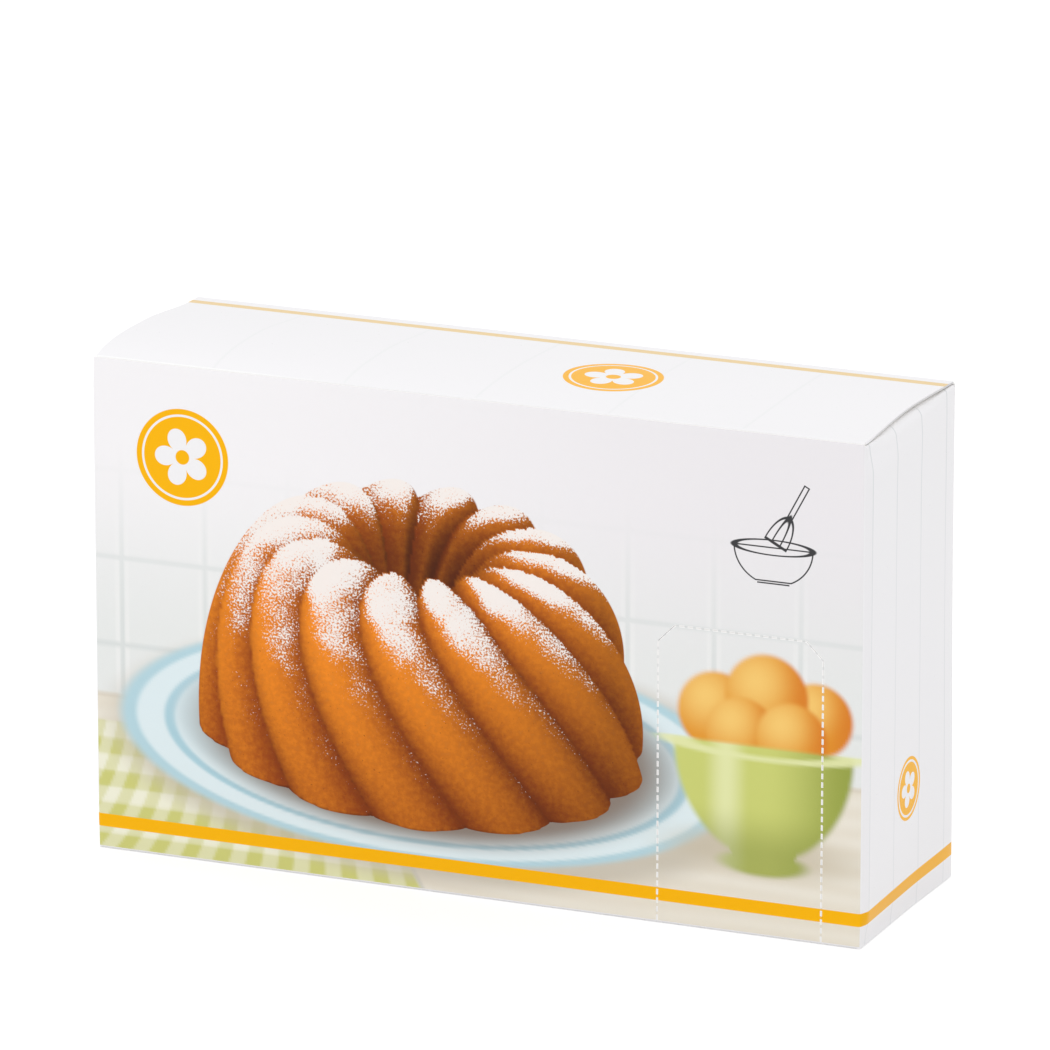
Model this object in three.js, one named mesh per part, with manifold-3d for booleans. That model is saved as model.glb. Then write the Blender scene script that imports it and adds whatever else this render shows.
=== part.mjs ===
// A boxed lamb cake mould: a closed folding carton with a two-part sheet-steel mould and its stand inside.
// Millimetres. The origin is the middle of the carton's underside, +X to the right of the front
// panel, +Y from front to back, +Z up.
import * as THREE from 'three';
import { mergeVertices } from 'three/addons/utils/BufferGeometryUtils.js';
import Module from 'manifold-3d';

// Driving dimensions of the carton.
const cartonWidth = 280;
const cartonDepth = 85;
const cartonHeight = 175;
const board = 0.7;
const creaseGap = 0.3;
const slipGap = 0.5;
const cornerRadius = 3;
const lidSideInset = 2.5;
const tuckDepth = 18;
const tuckSideInset = 6;
const tuckCornerRadius = 14;
const tuckLean = THREE.MathUtils.degToRad(7);
const dustFlapLength = 60;
const dustFlapEdgeGap = 4;
const dustFlapFrontChamfer = 16;
const dustFlapTip = 26;
const glueFlapWidth = 15;
const glueFlapEndGap = 5;
const bottomEndFlapLength = 65;
const displayFlapWidth = 59;
const displayFlapHeight = 105;
const displayFlapRightMargin = 14;
const displayFlapShoulder = 6;

// Driving dimensions of the mould. Its outline lies in the parting plane, and the spaces are what it
// leaves free inside the carton.
const mouldEndSpace = 47;
const mouldHeadroom = 11.4;
const mouldSideSpace = 9.8;
const sheet = 0.7;
const partingGap = 0.3;
const flangeWidth = 5;
const flangeStartHeight = 24;
const edgeRounding = 20;
const mouldGridStep = 5;
const steepestThickening = 3;

// Driving dimensions of the collar, the stand and the leaflet, with the spaces they leave free.
const seatGap = 0.3;
const boreGap = 0.3;
const standSheet = 1;
const baseSideSpace = 6.5;
const baseEndMargin = 3;
const baseCornerRadius = 12;
const postEndSpace = 34;
const postSideSpace = 17.5;
const postHeadroom = 20.7;
const postFootLength = 13;
const postSlotWidth = 4.4;
const postSlotRise = 21;
const rivetShankRadius = 1.6;
const rivetHeadRadius = 3.2;
const rivetHeadHeight = 1.4;
const rivetEdgeDistance = 8;
const knobRadius = 8;
const knobThickness = 7;
const knobScallopDepth = 0.9;
const knobScallops = 10;
const studRadius = 1.8;
const nutRadius = 5;
const nutThickness = 3;
const collarHeight = 20;
const collarWall = 1;
const collarLip = 4;
const collarSlip = 0.7;
const clipWidth = 14;
const clipSheet = 1;
const clipCurlRadius = 3;
const clipPinRadius = 1;
const clipKnuckleWall = 1;
const clipEarThickness = 1.5;
const clipPinAboveBase = 7;
const leafletSideSpace = 7.5;
const leafletHeadroom = 24;
const leafletThickness = 1.2;
const leafletEndGap = 3;

// Shares of the sizes they follow.
const knobHeightShare = 0.67;
const mouldOutlineShares = [
  [0.0, 0.0], [0.0, 0.14], [0.006, 0.25], [0.03, 0.31], [0.025, 0.42], [0.05, 0.55], [0.12, 0.645],
  [0.24, 0.675], [0.42, 0.655], [0.54, 0.67], [0.6, 0.73], [0.63, 0.84], [0.67, 0.945], [0.75, 1.0],
  [0.84, 0.97], [0.92, 0.885], [0.985, 0.81], [1.0, 0.75], [0.975, 0.7], [0.91, 0.665], [0.862, 0.62],
  [0.85, 0.53], [0.845, 0.4], [0.852, 0.31], [0.872, 0.25], [0.875, 0.14], [0.875, 0.0],
];
const relativeLobeShares = [
  // Centre along, centre up, radius along, radius up, bulge of the half width.
  [0.44, 0.0, 1.6, 0.33, 1.0],
  [0.17, 0.42, 0.2, 0.3, 0.84],
  [0.42, 0.4, 0.26, 0.32, 0.74],
  [0.7, 0.44, 0.2, 0.34, 0.8],
  [0.72, 0.72, 0.17, 0.32, 0.56],
  [0.8, 0.84, 0.2, 0.2, 0.48],
  [0.745, 0.8, 0.055, 0.15, 0.56],
  [0.94, 0.76, 0.12, 0.13, 0.36],
];
const lobeSharpness = 6;
const thinnestBulgeShare = 0.2;

const roundSegments = 32;
const cornerSegments = 6;

// Levels and half sizes worked out from the driving dimensions.
const halfWidth = cartonWidth / 2;
const halfDepth = cartonDepth / 2;
const bottomLayer = board + creaseGap;
const bottomTop = 3 * board + 2 * creaseGap;
const foldRelief = board + creaseGap;
const dustFlapTop = cartonHeight - board - creaseGap;
const basePlateBottom = bottomTop + seatGap;
const basePlateTop = basePlateBottom + standSheet;
const footBottom = basePlateTop + seatGap;
const collarBottom = basePlateTop + seatGap;
const mouthLevel = collarBottom + collarHeight + seatGap;
const mouldLength = cartonWidth - 2 * mouldEndSpace;
const mouldHeight = cartonHeight - mouldHeadroom - flangeWidth - mouthLevel;
const mouldHalfWidth = halfDepth - board - mouldSideSpace;
const mouldLeft = -mouldLength / 2;
const plinthShare = mouldOutlineShares[mouldOutlineShares.length - 1][0];
const plinthLength = plinthShare * mouldLength;
const plinthCentre = mouldLeft + plinthLength / 2;
const collarInnerHalfLength = plinthLength / 2 + collarSlip;
const collarInnerHalfWidth = partingGap / 2 + mouldHalfWidth + sheet + collarSlip;

const materials = {
  board: { color: 0xf1f1f2, roughness: 0.35, metalness: 0 },
  print: { color: 0xf3d9a8, roughness: 0.35, metalness: 0 },
  rawBoard: { color: 0xd9d3c6, roughness: 0.8, metalness: 0 },
  coatedSteel: { color: 0x3b3c40, roughness: 0.5, metalness: 0.5 },
  tinnedSteel: { color: 0xb9bcc0, roughness: 0.3, metalness: 0.9 },
  paper: { color: 0xf6f3ea, roughness: 0.7, metalness: 0 },
};

const object = new THREE.Group();

function addPiece(name, geometry, material) {
  const mesh = new THREE.Mesh(geometry, new THREE.MeshStandardMaterial(materials[material]));
  mesh.name = name;
  object.add(mesh);
  return mesh;
}

// Closed solids from flat outlines.
function extrude(shape, thickness) {
  return new THREE.ExtrudeGeometry(shape, {
    depth: thickness,
    bevelEnabled: false,
    curveSegments: cornerSegments,
  });
}

// The outline is drawn as seen from above, and the sheet's underside is at the given level.
function flatSheet(shape, bottom, thickness) {
  return extrude(shape, thickness).translate(0, 0, bottom);
}

// The outline is drawn in X and Z, and the sheet runs back from the given Y.
function uprightSheet(shape, front, thickness) {
  const axes = new THREE.Matrix4().makeBasis(
    new THREE.Vector3(1, 0, 0),
    new THREE.Vector3(0, 0, 1),
    new THREE.Vector3(0, -1, 0),
  );
  return extrude(shape, thickness).applyMatrix4(axes).translate(0, front + thickness, 0);
}

// The outline is drawn in Y and Z, and the sheet runs in +X from the given X.
function crosswiseSheet(shape, left, thickness) {
  const axes = new THREE.Matrix4().makeBasis(
    new THREE.Vector3(0, 1, 0),
    new THREE.Vector3(0, 0, 1),
    new THREE.Vector3(1, 0, 0),
  );
  return extrude(shape, thickness).applyMatrix4(axes).translate(left, 0, 0);
}

function polygon(points) {
  return new THREE.Shape(points.map(([x, y]) => new THREE.Vector2(x, y)));
}

function rectangle(left, low, right, high) {
  return polygon([[left, low], [right, low], [right, high], [left, high]]);
}

function roundedRectangle(centreX, centreY, halfLength, halfHeight, radius) {
  const shape = new THREE.Shape();
  const quarter = Math.PI / 2;
  const corners = [[1, -1], [1, 1], [-1, 1], [-1, -1]];
  corners.forEach(([sideX, sideY], index) => {
    const x = centreX + sideX * (halfLength - radius);
    const y = centreY + sideY * (halfHeight - radius);
    shape.absarc(x, y, radius, (index - 1) * quarter, index * quarter, false);
  });
  return shape;
}

function circle(x, y, radius) {
  return new THREE.Shape().absarc(x, y, radius, 0, 2 * Math.PI, false);
}

// Booleans.
const wasm = await Module();
wasm.setup();

function toSolid(geometry) {
  const bare = geometry.index ? geometry.toNonIndexed() : geometry.clone();
  bare.deleteAttribute('normal');
  bare.deleteAttribute('uv');
  const merged = mergeVertices(bare);
  return new wasm.Manifold(new wasm.Mesh({
    numProp: 3,
    vertProperties: new Float32Array(merged.attributes.position.array),
    triVerts: new Uint32Array(merged.index.array),
  }));
}

function toGeometry(solid) {
  const mesh = solid.getMesh();
  const geometry = new THREE.BufferGeometry();
  geometry.setAttribute('position', new THREE.BufferAttribute(new Float32Array(mesh.vertProperties), 3));
  geometry.setIndex(new THREE.BufferAttribute(new Uint32Array(mesh.triVerts), 1));
  return geometry;
}

function join(...geometries) {
  return toGeometry(geometries.map(toSolid).reduce((whole, solid) => whole.add(solid)));
}

// Carton sleeve: flat front and back, and end panels that carry the rounded upright folds.
const flatHalfWidth = halfWidth - cornerRadius;
const sleeveBottom = bottomLayer;
const frontTop = cartonHeight - slipGap;
const displayRight = halfWidth - displayFlapRightMargin;
const displayLeft = displayRight - displayFlapWidth;

function frontPanel() {
  const notchTop = displayFlapHeight + creaseGap;
  const notchShoulder = notchTop - displayFlapShoulder;
  return polygon([
    [-flatHalfWidth, sleeveBottom],
    [displayLeft - creaseGap, sleeveBottom],
    [displayLeft - creaseGap, notchShoulder],
    [displayLeft - creaseGap + displayFlapShoulder, notchTop],
    [displayRight + creaseGap - displayFlapShoulder, notchTop],
    [displayRight + creaseGap, notchShoulder],
    [displayRight + creaseGap, sleeveBottom],
    [flatHalfWidth, sleeveBottom],
    [flatHalfWidth, frontTop],
    [-flatHalfWidth, frontTop],
  ]);
}

function displayFlap() {
  const shoulder = displayFlapHeight - displayFlapShoulder;
  return polygon([
    [displayLeft, sleeveBottom],
    [displayRight, sleeveBottom],
    [displayRight, shoulder],
    [displayRight - displayFlapShoulder, displayFlapHeight],
    [displayLeft + displayFlapShoulder, displayFlapHeight],
    [displayLeft, shoulder],
  ]);
}

addPiece('front_panel', uprightSheet(frontPanel(), -halfDepth, board), 'print');
addPiece('display_flap', uprightSheet(displayFlap(), -halfDepth, board), 'print');
const backPanel = rectangle(-flatHalfWidth, sleeveBottom, flatHalfWidth, cartonHeight - foldRelief);
addPiece('back_panel', uprightSheet(backPanel, halfDepth - board, board), 'board');

// An end panel seen from above: a thin U whose legs end where the flat panels begin.
function endPanel(side) {
  const legEnd = flatHalfWidth + creaseGap;
  const quarter = Math.PI / 2;
  const shape = new THREE.Shape();
  shape.moveTo(legEnd, -halfDepth);
  shape.absarc(flatHalfWidth + creaseGap, -halfDepth + cornerRadius - creaseGap,
    cornerRadius - creaseGap, -quarter, 0, false);
  shape.absarc(flatHalfWidth + creaseGap, halfDepth - cornerRadius + creaseGap,
    cornerRadius - creaseGap, 0, quarter, false);
  const innerRadius = cornerRadius - creaseGap - board;
  shape.lineTo(legEnd, halfDepth - board);
  shape.absarc(legEnd, halfDepth - cornerRadius + creaseGap, innerRadius, quarter, 0, true);
  shape.absarc(legEnd, -halfDepth + cornerRadius - creaseGap, innerRadius, 0, -quarter, true);
  shape.closePath();
  const geometry = flatSheet(shape, sleeveBottom, dustFlapTop - foldRelief - sleeveBottom);
  return side > 0 ? geometry : geometry.rotateZ(Math.PI);
}

addPiece('right_end_panel', endPanel(1), 'board');
addPiece('left_end_panel', endPanel(-1), 'board');

const glueFlapShape = rectangle(
  -flatHalfWidth,
  bottomTop + glueFlapEndGap,
  -flatHalfWidth + glueFlapWidth,
  dustFlapTop - foldRelief - glueFlapEndGap,
);
addPiece('glue_flap', uprightSheet(glueFlapShape, halfDepth - 2 * board - creaseGap, board), 'rawBoard');

// Carton bottom: two short end flaps inside, then the back flap, then the front flap outside.
const bottomHalfDepth = halfDepth - board - creaseGap;
const innerHalfWidth = halfWidth - board - creaseGap;
addPiece('bottom_front_flap', flatSheet(
  rectangle(-flatHalfWidth, -halfDepth, flatHalfWidth, halfDepth), 0, board), 'board');
addPiece('bottom_back_flap', flatSheet(
  rectangle(-flatHalfWidth, -bottomHalfDepth, flatHalfWidth, bottomHalfDepth), bottomLayer, board), 'board');
for (const [name, side] of [['bottom_right_flap', 1], ['bottom_left_flap', -1]]) {
  const outer = side * (innerHalfWidth - cornerRadius);
  const inner = side * (innerHalfWidth - cornerRadius - bottomEndFlapLength);
  const shape = rectangle(Math.min(outer, inner), -bottomHalfDepth, Math.max(outer, inner), bottomHalfDepth);
  addPiece(name, flatSheet(shape, 2 * bottomLayer, board), 'board');
}

// Carton lid: it folds on the top edge of the back panel, and its tuck goes behind the front panel.
const lidFront = -halfDepth + board + slipGap;
addPiece('lid', flatSheet(
  rectangle(-halfWidth + lidSideInset, lidFront, halfWidth - lidSideInset, halfDepth),
  cartonHeight - board, board), 'board');

function tuckOutline() {
  const half = halfWidth - tuckSideInset;
  const high = -foldRelief - board * Math.sin(tuckLean);
  const low = high - tuckDepth;
  const shape = new THREE.Shape();
  shape.moveTo(half, high);
  shape.lineTo(-half, high);
  shape.absarc(-half + tuckCornerRadius, low + tuckCornerRadius, tuckCornerRadius,
    Math.PI, 1.5 * Math.PI, false);
  shape.absarc(half - tuckCornerRadius, low + tuckCornerRadius, tuckCornerRadius,
    1.5 * Math.PI, 2 * Math.PI, false);
  shape.closePath();
  return shape;
}

const tuck = uprightSheet(tuckOutline(), 0, board);
tuck.rotateX(tuckLean).translate(0, lidFront, cartonHeight);
addPiece('lid_tuck', tuck, 'board');

// Dust flaps: they fold on the end panels' top edges, with a slanted back edge that clears the lid.
function dustFlap(side) {
  const front = -halfDepth + 2 * board + dustFlapEdgeGap;
  const back = halfDepth - dustFlapEdgeGap;
  const points = [
    [0, front],
    [0, back],
    [dustFlapEdgeGap, back],
    [dustFlapLength, front + dustFlapTip],
    [dustFlapLength, front + dustFlapFrontChamfer],
    [dustFlapLength - dustFlapFrontChamfer, front],
  ];
  const placed = points.map(([along, y]) => [side * (halfWidth - along), y]);
  return polygon(side > 0 ? placed : placed.reverse());
}

for (const [name, side] of [['dust_flap_right', 1], ['dust_flap_left', -1]]) {
  addPiece(name, flatSheet(dustFlap(side), dustFlapTop - board, board), 'board');
}

// Mould outline in the parting plane, from the mouth up round the lamb and back to the mouth.
function mouldOutline() {
  const points = mouldOutlineShares.map(([along, up]) => new THREE.Vector3(
    mouldLeft + along * mouldLength, 0, mouthLevel + up * mouldHeight));
  const first = points[0];
  const last = points[points.length - 1];
  const curve = new THREE.CatmullRomCurve3(points, false, 'centripetal');
  const samples = curve.getPoints(6 * points.length);
  const below = mouthLevel - mouldHeight;
  return [
    new THREE.Vector3(first.x, 0, below),
    ...samples,
    new THREE.Vector3(last.x, 0, below),
  ];
}

const outline = mouldOutline();

// How far a point lies inside the outline: positive inside, negative outside.
function depthInside(x, z) {
  let nearest = Infinity;
  let inside = false;
  for (let i = 0; i < outline.length; i += 1) {
    const a = outline[i];
    const b = outline[(i + 1) % outline.length];
    const alongX = b.x - a.x;
    const alongZ = b.z - a.z;
    const length2 = alongX * alongX + alongZ * alongZ;
    const share = ((x - a.x) * alongX + (z - a.z) * alongZ) / length2;
    const clamped = THREE.MathUtils.clamp(share, 0, 1);
    const distance = Math.hypot(x - a.x - clamped * alongX, z - a.z - clamped * alongZ);
    nearest = Math.min(nearest, distance);
    const crosses = (a.z > z) !== (b.z > z);
    if (crosses && x < a.x + ((z - a.z) / alongZ) * alongX) {
      inside = !inside;
    }
  }
  return inside ? nearest : -nearest;
}

// How far the shell bulges out from the parting plane.
function bulge(x, z) {
  const depth = depthInside(x, z);
  if (depth <= 0) {
    return 0;
  }
  const along = (x - mouldLeft) / mouldLength;
  const up = (z - mouthLevel) / mouldHeight;
  let sum = thinnestBulgeShare ** lobeSharpness;
  for (const [centreAlong, centreUp, radiusAlong, radiusUp, height] of relativeLobeShares) {
    const offset = ((along - centreAlong) / radiusAlong) ** 2 + ((up - centreUp) / radiusUp) ** 2;
    sum += (height * Math.sqrt(Math.max(0, 1 - offset))) ** lobeSharpness;
  }
  const rounding = 1 - Math.min(depth / edgeRounding, 1);
  return mouldHalfWidth * Math.min(1, sum ** (1 / lobeSharpness)) * Math.sqrt(1 - rounding * rounding);
}

// Positive where there is sheet: the pressing and, above the collar, the flange round it.
function sheetField(x, z) {
  const rise = THREE.MathUtils.clamp((z - mouthLevel - flangeStartHeight) / flangeWidth, 0, 1);
  return depthInside(x, z) + flangeWidth * rise;
}

function flatTriangles() {
  const margin = flangeWidth + mouldGridStep;
  const columns = Math.ceil((mouldLength + 2 * margin) / mouldGridStep);
  const rows = Math.ceil((mouldHeight + margin) / mouldGridStep);
  const leftEdge = mouldLeft - margin;
  const points = [];
  const known = new Map();
  const field = [];
  for (let row = 0; row <= rows; row += 1) {
    for (let column = 0; column <= columns; column += 1) {
      field.push(sheetField(leftEdge + column * mouldGridStep, mouthLevel + row * mouldGridStep));
    }
  }
  const pointAt = (key, x, z) => {
    if (!known.has(key)) {
      known.set(key, points.length);
      points.push([x, z]);
    }
    return known.get(key);
  };
  const triangles = [];
  for (let row = 0; row < rows; row += 1) {
    for (let column = 0; column < columns; column += 1) {
      const corners = [[column, row], [column + 1, row], [column + 1, row + 1], [column, row + 1]];
      const ring = [];
      corners.forEach(([c, r], index) => {
        const [nextC, nextR] = corners[(index + 1) % 4];
        const here = r * (columns + 1) + c;
        const next = nextR * (columns + 1) + nextC;
        const x = leftEdge + c * mouldGridStep;
        const z = mouthLevel + r * mouldGridStep;
        if (field[here] > 0) {
          ring.push(pointAt(`${here}`, x, z));
        }
        if ((field[here] > 0) !== (field[next] > 0)) {
          const low = Math.min(here, next);
          const high = Math.max(here, next);
          const share = field[here] / (field[here] - field[next]);
          const kept = THREE.MathUtils.clamp(share, 0.12, 0.88);
          const crossingX = x + kept * (nextC - c) * mouldGridStep;
          const crossingZ = z + kept * (nextR - r) * mouldGridStep;
          ring.push(pointAt(`${low}/${high}`, crossingX, crossingZ));
        }
      });
      for (let i = 1; i + 1 < ring.length; i += 1) {
        triangles.push([ring[0], ring[i], ring[i + 1]]);
      }
    }
  }
  return { points, triangles };
}

// One half of the mould: the pressed sheet, thickened along the width by what its slope asks for.
function mouldHalf(flat, side) {
  const count = flat.points.length;
  const positions = [];
  const nudge = mouldGridStep / 20;
  const inner = flat.points.map(([x, z]) => partingGap / 2 + bulge(x, z));
  const outer = flat.points.map(([x, z], index) => {
    const slopeX = (bulge(x + nudge, z) - bulge(x - nudge, z)) / (2 * nudge);
    const slopeZ = (bulge(x, z + nudge) - bulge(x, z - nudge)) / (2 * nudge);
    const thickening = Math.min(steepestThickening, Math.hypot(1, slopeX, slopeZ));
    return inner[index] + sheet * thickening;
  });
  flat.points.forEach(([x, z], index) => positions.push(x, side * outer[index], z));
  flat.points.forEach(([x, z], index) => positions.push(x, side * inner[index], z));
  const faces = [];
  const edges = new Map();
  for (const [a, b, c] of flat.triangles) {
    faces.push([a, b, c], [c + count, b + count, a + count]);
    for (const [from, to] of [[a, b], [b, c], [c, a]]) {
      edges.set(`${from}/${to}`, [from, to]);
    }
  }
  for (const [from, to] of edges.values()) {
    if (!edges.has(`${to}/${from}`)) {
      faces.push([to, from, from + count], [to, from + count, to + count]);
    }
  }
  const geometry = new THREE.BufferGeometry();
  geometry.setAttribute('position', new THREE.Float32BufferAttribute(positions, 3));
  geometry.setIndex(faces.flatMap((face) => (side < 0 ? face : [...face].reverse())));
  return geometry;
}

const flatMould = flatTriangles();
addPiece('mould_front_half', mouldHalf(flatMould, -1), 'coatedSteel');
addPiece('mould_back_half', mouldHalf(flatMould, 1), 'coatedSteel');

// Collar: a band with an inward lip on top, lying on the stand's base. The mould's mouth stands on it.
const clipX = plinthCentre + collarInnerHalfLength + collarWall;
const clipPinX = clipX + clipPinRadius + boreGap + clipKnuckleWall + seatGap;
const clipPinZ = collarBottom + clipPinAboveBase;

function collarRing(height, lip) {
  const outer = roundedRectangle(plinthCentre, 0, collarInnerHalfLength + collarWall,
    collarInnerHalfWidth + collarWall, edgeRounding + collarWall);
  outer.holes.push(roundedRectangle(plinthCentre, 0, collarInnerHalfLength - lip,
    collarInnerHalfWidth - lip, edgeRounding - lip));
  return extrude(outer, height);
}

function clipEar(side) {
  const reach = clipPinX + clipPinRadius + boreGap + clipKnuckleWall;
  const halfEar = clipPinRadius + boreGap + clipKnuckleWall;
  const shape = rectangle(clipX - collarWall / 2, clipPinZ - halfEar, reach, clipPinZ + halfEar);
  shape.holes.push(circle(clipPinX, clipPinZ, clipPinRadius + boreGap));
  const inner = clipWidth / 2 + seatGap;
  const front = side > 0 ? inner : -inner - clipEarThickness;
  return uprightSheet(shape, front, clipEarThickness);
}

addPiece('collar', join(
  collarRing(collarHeight, 0).translate(0, 0, collarBottom),
  collarRing(collarWall, collarLip).translate(0, 0, collarBottom + collarHeight - collarWall),
  clipEar(-1),
  clipEar(1),
), 'tinnedSteel');

// Clip: a knuckle on its pin, a strap up the collar's end and a curl that the finger lifts.
function collarClip() {
  const knuckleRadius = clipPinRadius + boreGap + clipKnuckleWall;
  const knuckle = circle(clipPinX, clipPinZ, knuckleRadius);
  knuckle.holes.push(circle(clipPinX, clipPinZ, clipPinRadius + boreGap));
  const strapLeft = clipPinX + knuckleRadius - clipSheet;
  const strapTop = collarBottom + collarHeight - collarWall;
  const strap = rectangle(strapLeft, clipPinZ + clipPinRadius / 2, strapLeft + clipSheet, strapTop);
  const curl = new THREE.Shape();
  curl.absarc(strapLeft + clipSheet + clipCurlRadius, strapTop - clipSheet / 2,
    clipCurlRadius + clipSheet, Math.PI, 0, true);
  curl.absarc(strapLeft + clipSheet + clipCurlRadius, strapTop - clipSheet / 2,
    clipCurlRadius, 0, Math.PI, false);
  curl.closePath();
  const shapes = [knuckle, strap, curl];
  const solids = shapes.map((shape) => uprightSheet(shape, -clipWidth / 2, clipWidth));
  return join(...solids);
}

function cylinderAlong(axis, radius, length, centre) {
  const geometry = new THREE.CylinderGeometry(radius, radius, length, roundSegments / 2);
  if (axis === 'x') {
    geometry.rotateZ(-Math.PI / 2);
  }
  return geometry.translate(centre[0], centre[1], centre[2]);
}

addPiece('collar_clip', collarClip(), 'tinnedSteel');
const clipPinLength = clipWidth + 2 * seatGap + 2 * clipEarThickness;
addPiece('clip_pin', cylinderAlong('y', clipPinRadius, clipPinLength, [clipPinX, 0, clipPinZ]), 'tinnedSteel');

// Stand: a base plate with an upright plate riveted to each end.
const postHalf = halfWidth - postEndSpace;
const postWidth = cartonDepth - 2 * postSideSpace;
const postHeight = cartonHeight - postHeadroom - footBottom;
const baseHalfLength = postHalf + standSheet + postFootLength + baseEndMargin;
const rivetX = postHalf + standSheet + postFootLength / 2;
const rivetY = postWidth / 2 - rivetEdgeDistance;
const knobZ = footBottom + knobHeightShare * postHeight;

function basePlate() {
  const shape = roundedRectangle(0, 0, baseHalfLength, halfDepth - baseSideSpace, baseCornerRadius);
  for (const x of [-rivetX, rivetX]) {
    for (const y of [-rivetY, rivetY]) {
      shape.holes.push(circle(x, y, rivetShankRadius + boreGap));
    }
  }
  return flatSheet(shape, basePlateBottom, standSheet);
}

addPiece('stand_base', basePlate(), 'tinnedSteel');

function standPost(side) {
  const half = postWidth / 2;
  const shape = new THREE.Shape();
  shape.moveTo(-half, footBottom);
  shape.lineTo(half, footBottom);
  shape.absarc(0, footBottom + postHeight - half, half, 0, Math.PI, false);
  shape.closePath();
  const slotEnd = footBottom + postSlotRise;
  const slot = new THREE.Shape();
  slot.absarc(0, knobZ, postSlotWidth / 2, 0, Math.PI, false);
  slot.absarc(0, slotEnd, postSlotWidth / 2, Math.PI, 2 * Math.PI, false);
  shape.holes.push(slot);
  const plateLeft = side > 0 ? postHalf : -postHalf - standSheet;
  const plate = crosswiseSheet(shape, plateLeft, standSheet);
  const footInner = postHalf;
  const footOuter = postHalf + standSheet + postFootLength;
  const foot = rectangle(Math.min(side * footInner, side * footOuter), -half,
    Math.max(side * footInner, side * footOuter), half);
  for (const y of [-rivetY, rivetY]) {
    foot.holes.push(circle(side * rivetX, y, rivetShankRadius + boreGap));
  }
  return join(plate, flatSheet(foot, footBottom, standSheet));
}

function rivet(x, y) {
  const headBottom = footBottom + standSheet + seatGap;
  const profile = [
    [0, basePlateBottom],
    [rivetShankRadius, basePlateBottom],
    [rivetShankRadius, headBottom],
    [rivetHeadRadius, headBottom],
    [rivetHeadRadius, headBottom + rivetHeadHeight / 3],
    [rivetHeadRadius * 0.6, headBottom + rivetHeadHeight],
    [0, headBottom + rivetHeadHeight],
  ];
  const points = profile.map(([radius, z]) => new THREE.Vector2(radius, z));
  const geometry = new THREE.LatheGeometry(points, roundSegments / 2);
  return geometry.rotateX(Math.PI / 2).translate(x, y, 0);
}

// Knob: a scalloped head outside the post and a stud through the slot into the nut inside.
function knob(side) {
  const shape = new THREE.Shape();
  const steps = knobScallops * 4;
  for (let step = 0; step < steps; step += 1) {
    const angle = (2 * Math.PI * step) / steps;
    const radius = knobRadius - knobScallopDepth * (0.5 + 0.5 * Math.cos(knobScallops * angle));
    const point = [radius * Math.cos(angle), knobZ + radius * Math.sin(angle)];
    if (step === 0) {
      shape.moveTo(...point);
    } else {
      shape.lineTo(...point);
    }
  }
  shape.closePath();
  const headInner = postHalf + standSheet + seatGap;
  const headLeft = side > 0 ? headInner : -headInner - knobThickness;
  const head = crosswiseSheet(shape, headLeft, knobThickness);
  const studInner = postHalf - seatGap - nutThickness;
  const studOuter = headInner + knobThickness / 2;
  const stud = cylinderAlong('x', studRadius, studOuter - studInner,
    [(side * (studInner + studOuter)) / 2, 0, knobZ]);
  return join(head, stud);
}

function nut(side) {
  const shape = circle(0, knobZ, nutRadius);
  shape.holes.push(circle(0, knobZ, studRadius + boreGap));
  const inner = postHalf - seatGap - nutThickness;
  return crosswiseSheet(shape, side > 0 ? inner : -inner - nutThickness, nutThickness);
}

for (const [name, side] of [['right', 1], ['left', -1]]) {
  addPiece(`stand_${name}_post`, standPost(side), 'tinnedSteel');
  addPiece(`${name}_knob`, knob(side), 'coatedSteel');
  addPiece(`${name}_clamp_nut`, nut(side), 'tinnedSteel');
  addPiece(`${name}_front_rivet`, rivet(side * rivetX, -rivetY), 'tinnedSteel');
  addPiece(`${name}_back_rivet`, rivet(side * rivetX, rivetY), 'tinnedSteel');
}

// Recipe leaflet: a folded sheet that stands in the space at the carton's left end.
const leafletLeft = -halfWidth + board + leafletEndGap;
const leafletHalfWidth = halfDepth - leafletSideSpace;
const leafletOutline = rectangle(-leafletHalfWidth, bottomTop + seatGap, leafletHalfWidth,
  cartonHeight - leafletHeadroom);
addPiece('recipe_leaflet', crosswiseSheet(leafletOutline, leafletLeft, leafletThickness), 'paper');

export default object;
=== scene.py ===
"""A boxed lamb cake mould: a printed folding carton with a two-part steel mould on its stand inside.
Lengths are in millimetres here and go to metres when a mesh is made. The origin is the middle of
the carton's underside, X runs along the front, Y from front to back and Z up."""

import copy
import math

import bpy
import numpy as np
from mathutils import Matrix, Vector
from mathutils.geometry import delaunay_2d_cdt


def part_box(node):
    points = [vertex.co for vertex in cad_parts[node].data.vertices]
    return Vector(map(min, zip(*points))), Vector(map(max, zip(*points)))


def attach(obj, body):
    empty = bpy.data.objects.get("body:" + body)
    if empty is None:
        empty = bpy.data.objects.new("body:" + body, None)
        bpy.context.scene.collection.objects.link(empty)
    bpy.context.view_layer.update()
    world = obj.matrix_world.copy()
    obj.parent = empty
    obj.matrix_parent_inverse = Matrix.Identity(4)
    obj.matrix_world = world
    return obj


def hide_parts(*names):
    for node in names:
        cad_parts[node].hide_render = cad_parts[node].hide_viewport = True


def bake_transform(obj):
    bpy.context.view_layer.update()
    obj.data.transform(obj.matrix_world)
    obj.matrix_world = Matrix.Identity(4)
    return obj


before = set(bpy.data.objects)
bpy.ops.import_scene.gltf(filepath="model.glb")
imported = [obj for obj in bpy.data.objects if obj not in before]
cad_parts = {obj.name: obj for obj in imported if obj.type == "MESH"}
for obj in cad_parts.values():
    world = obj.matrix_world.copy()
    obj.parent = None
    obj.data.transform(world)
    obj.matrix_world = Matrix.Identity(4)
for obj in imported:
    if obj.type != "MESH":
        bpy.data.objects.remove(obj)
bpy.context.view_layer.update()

MM = 0.001
TINY = 1e-6
QUARTER = math.pi / 2
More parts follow.
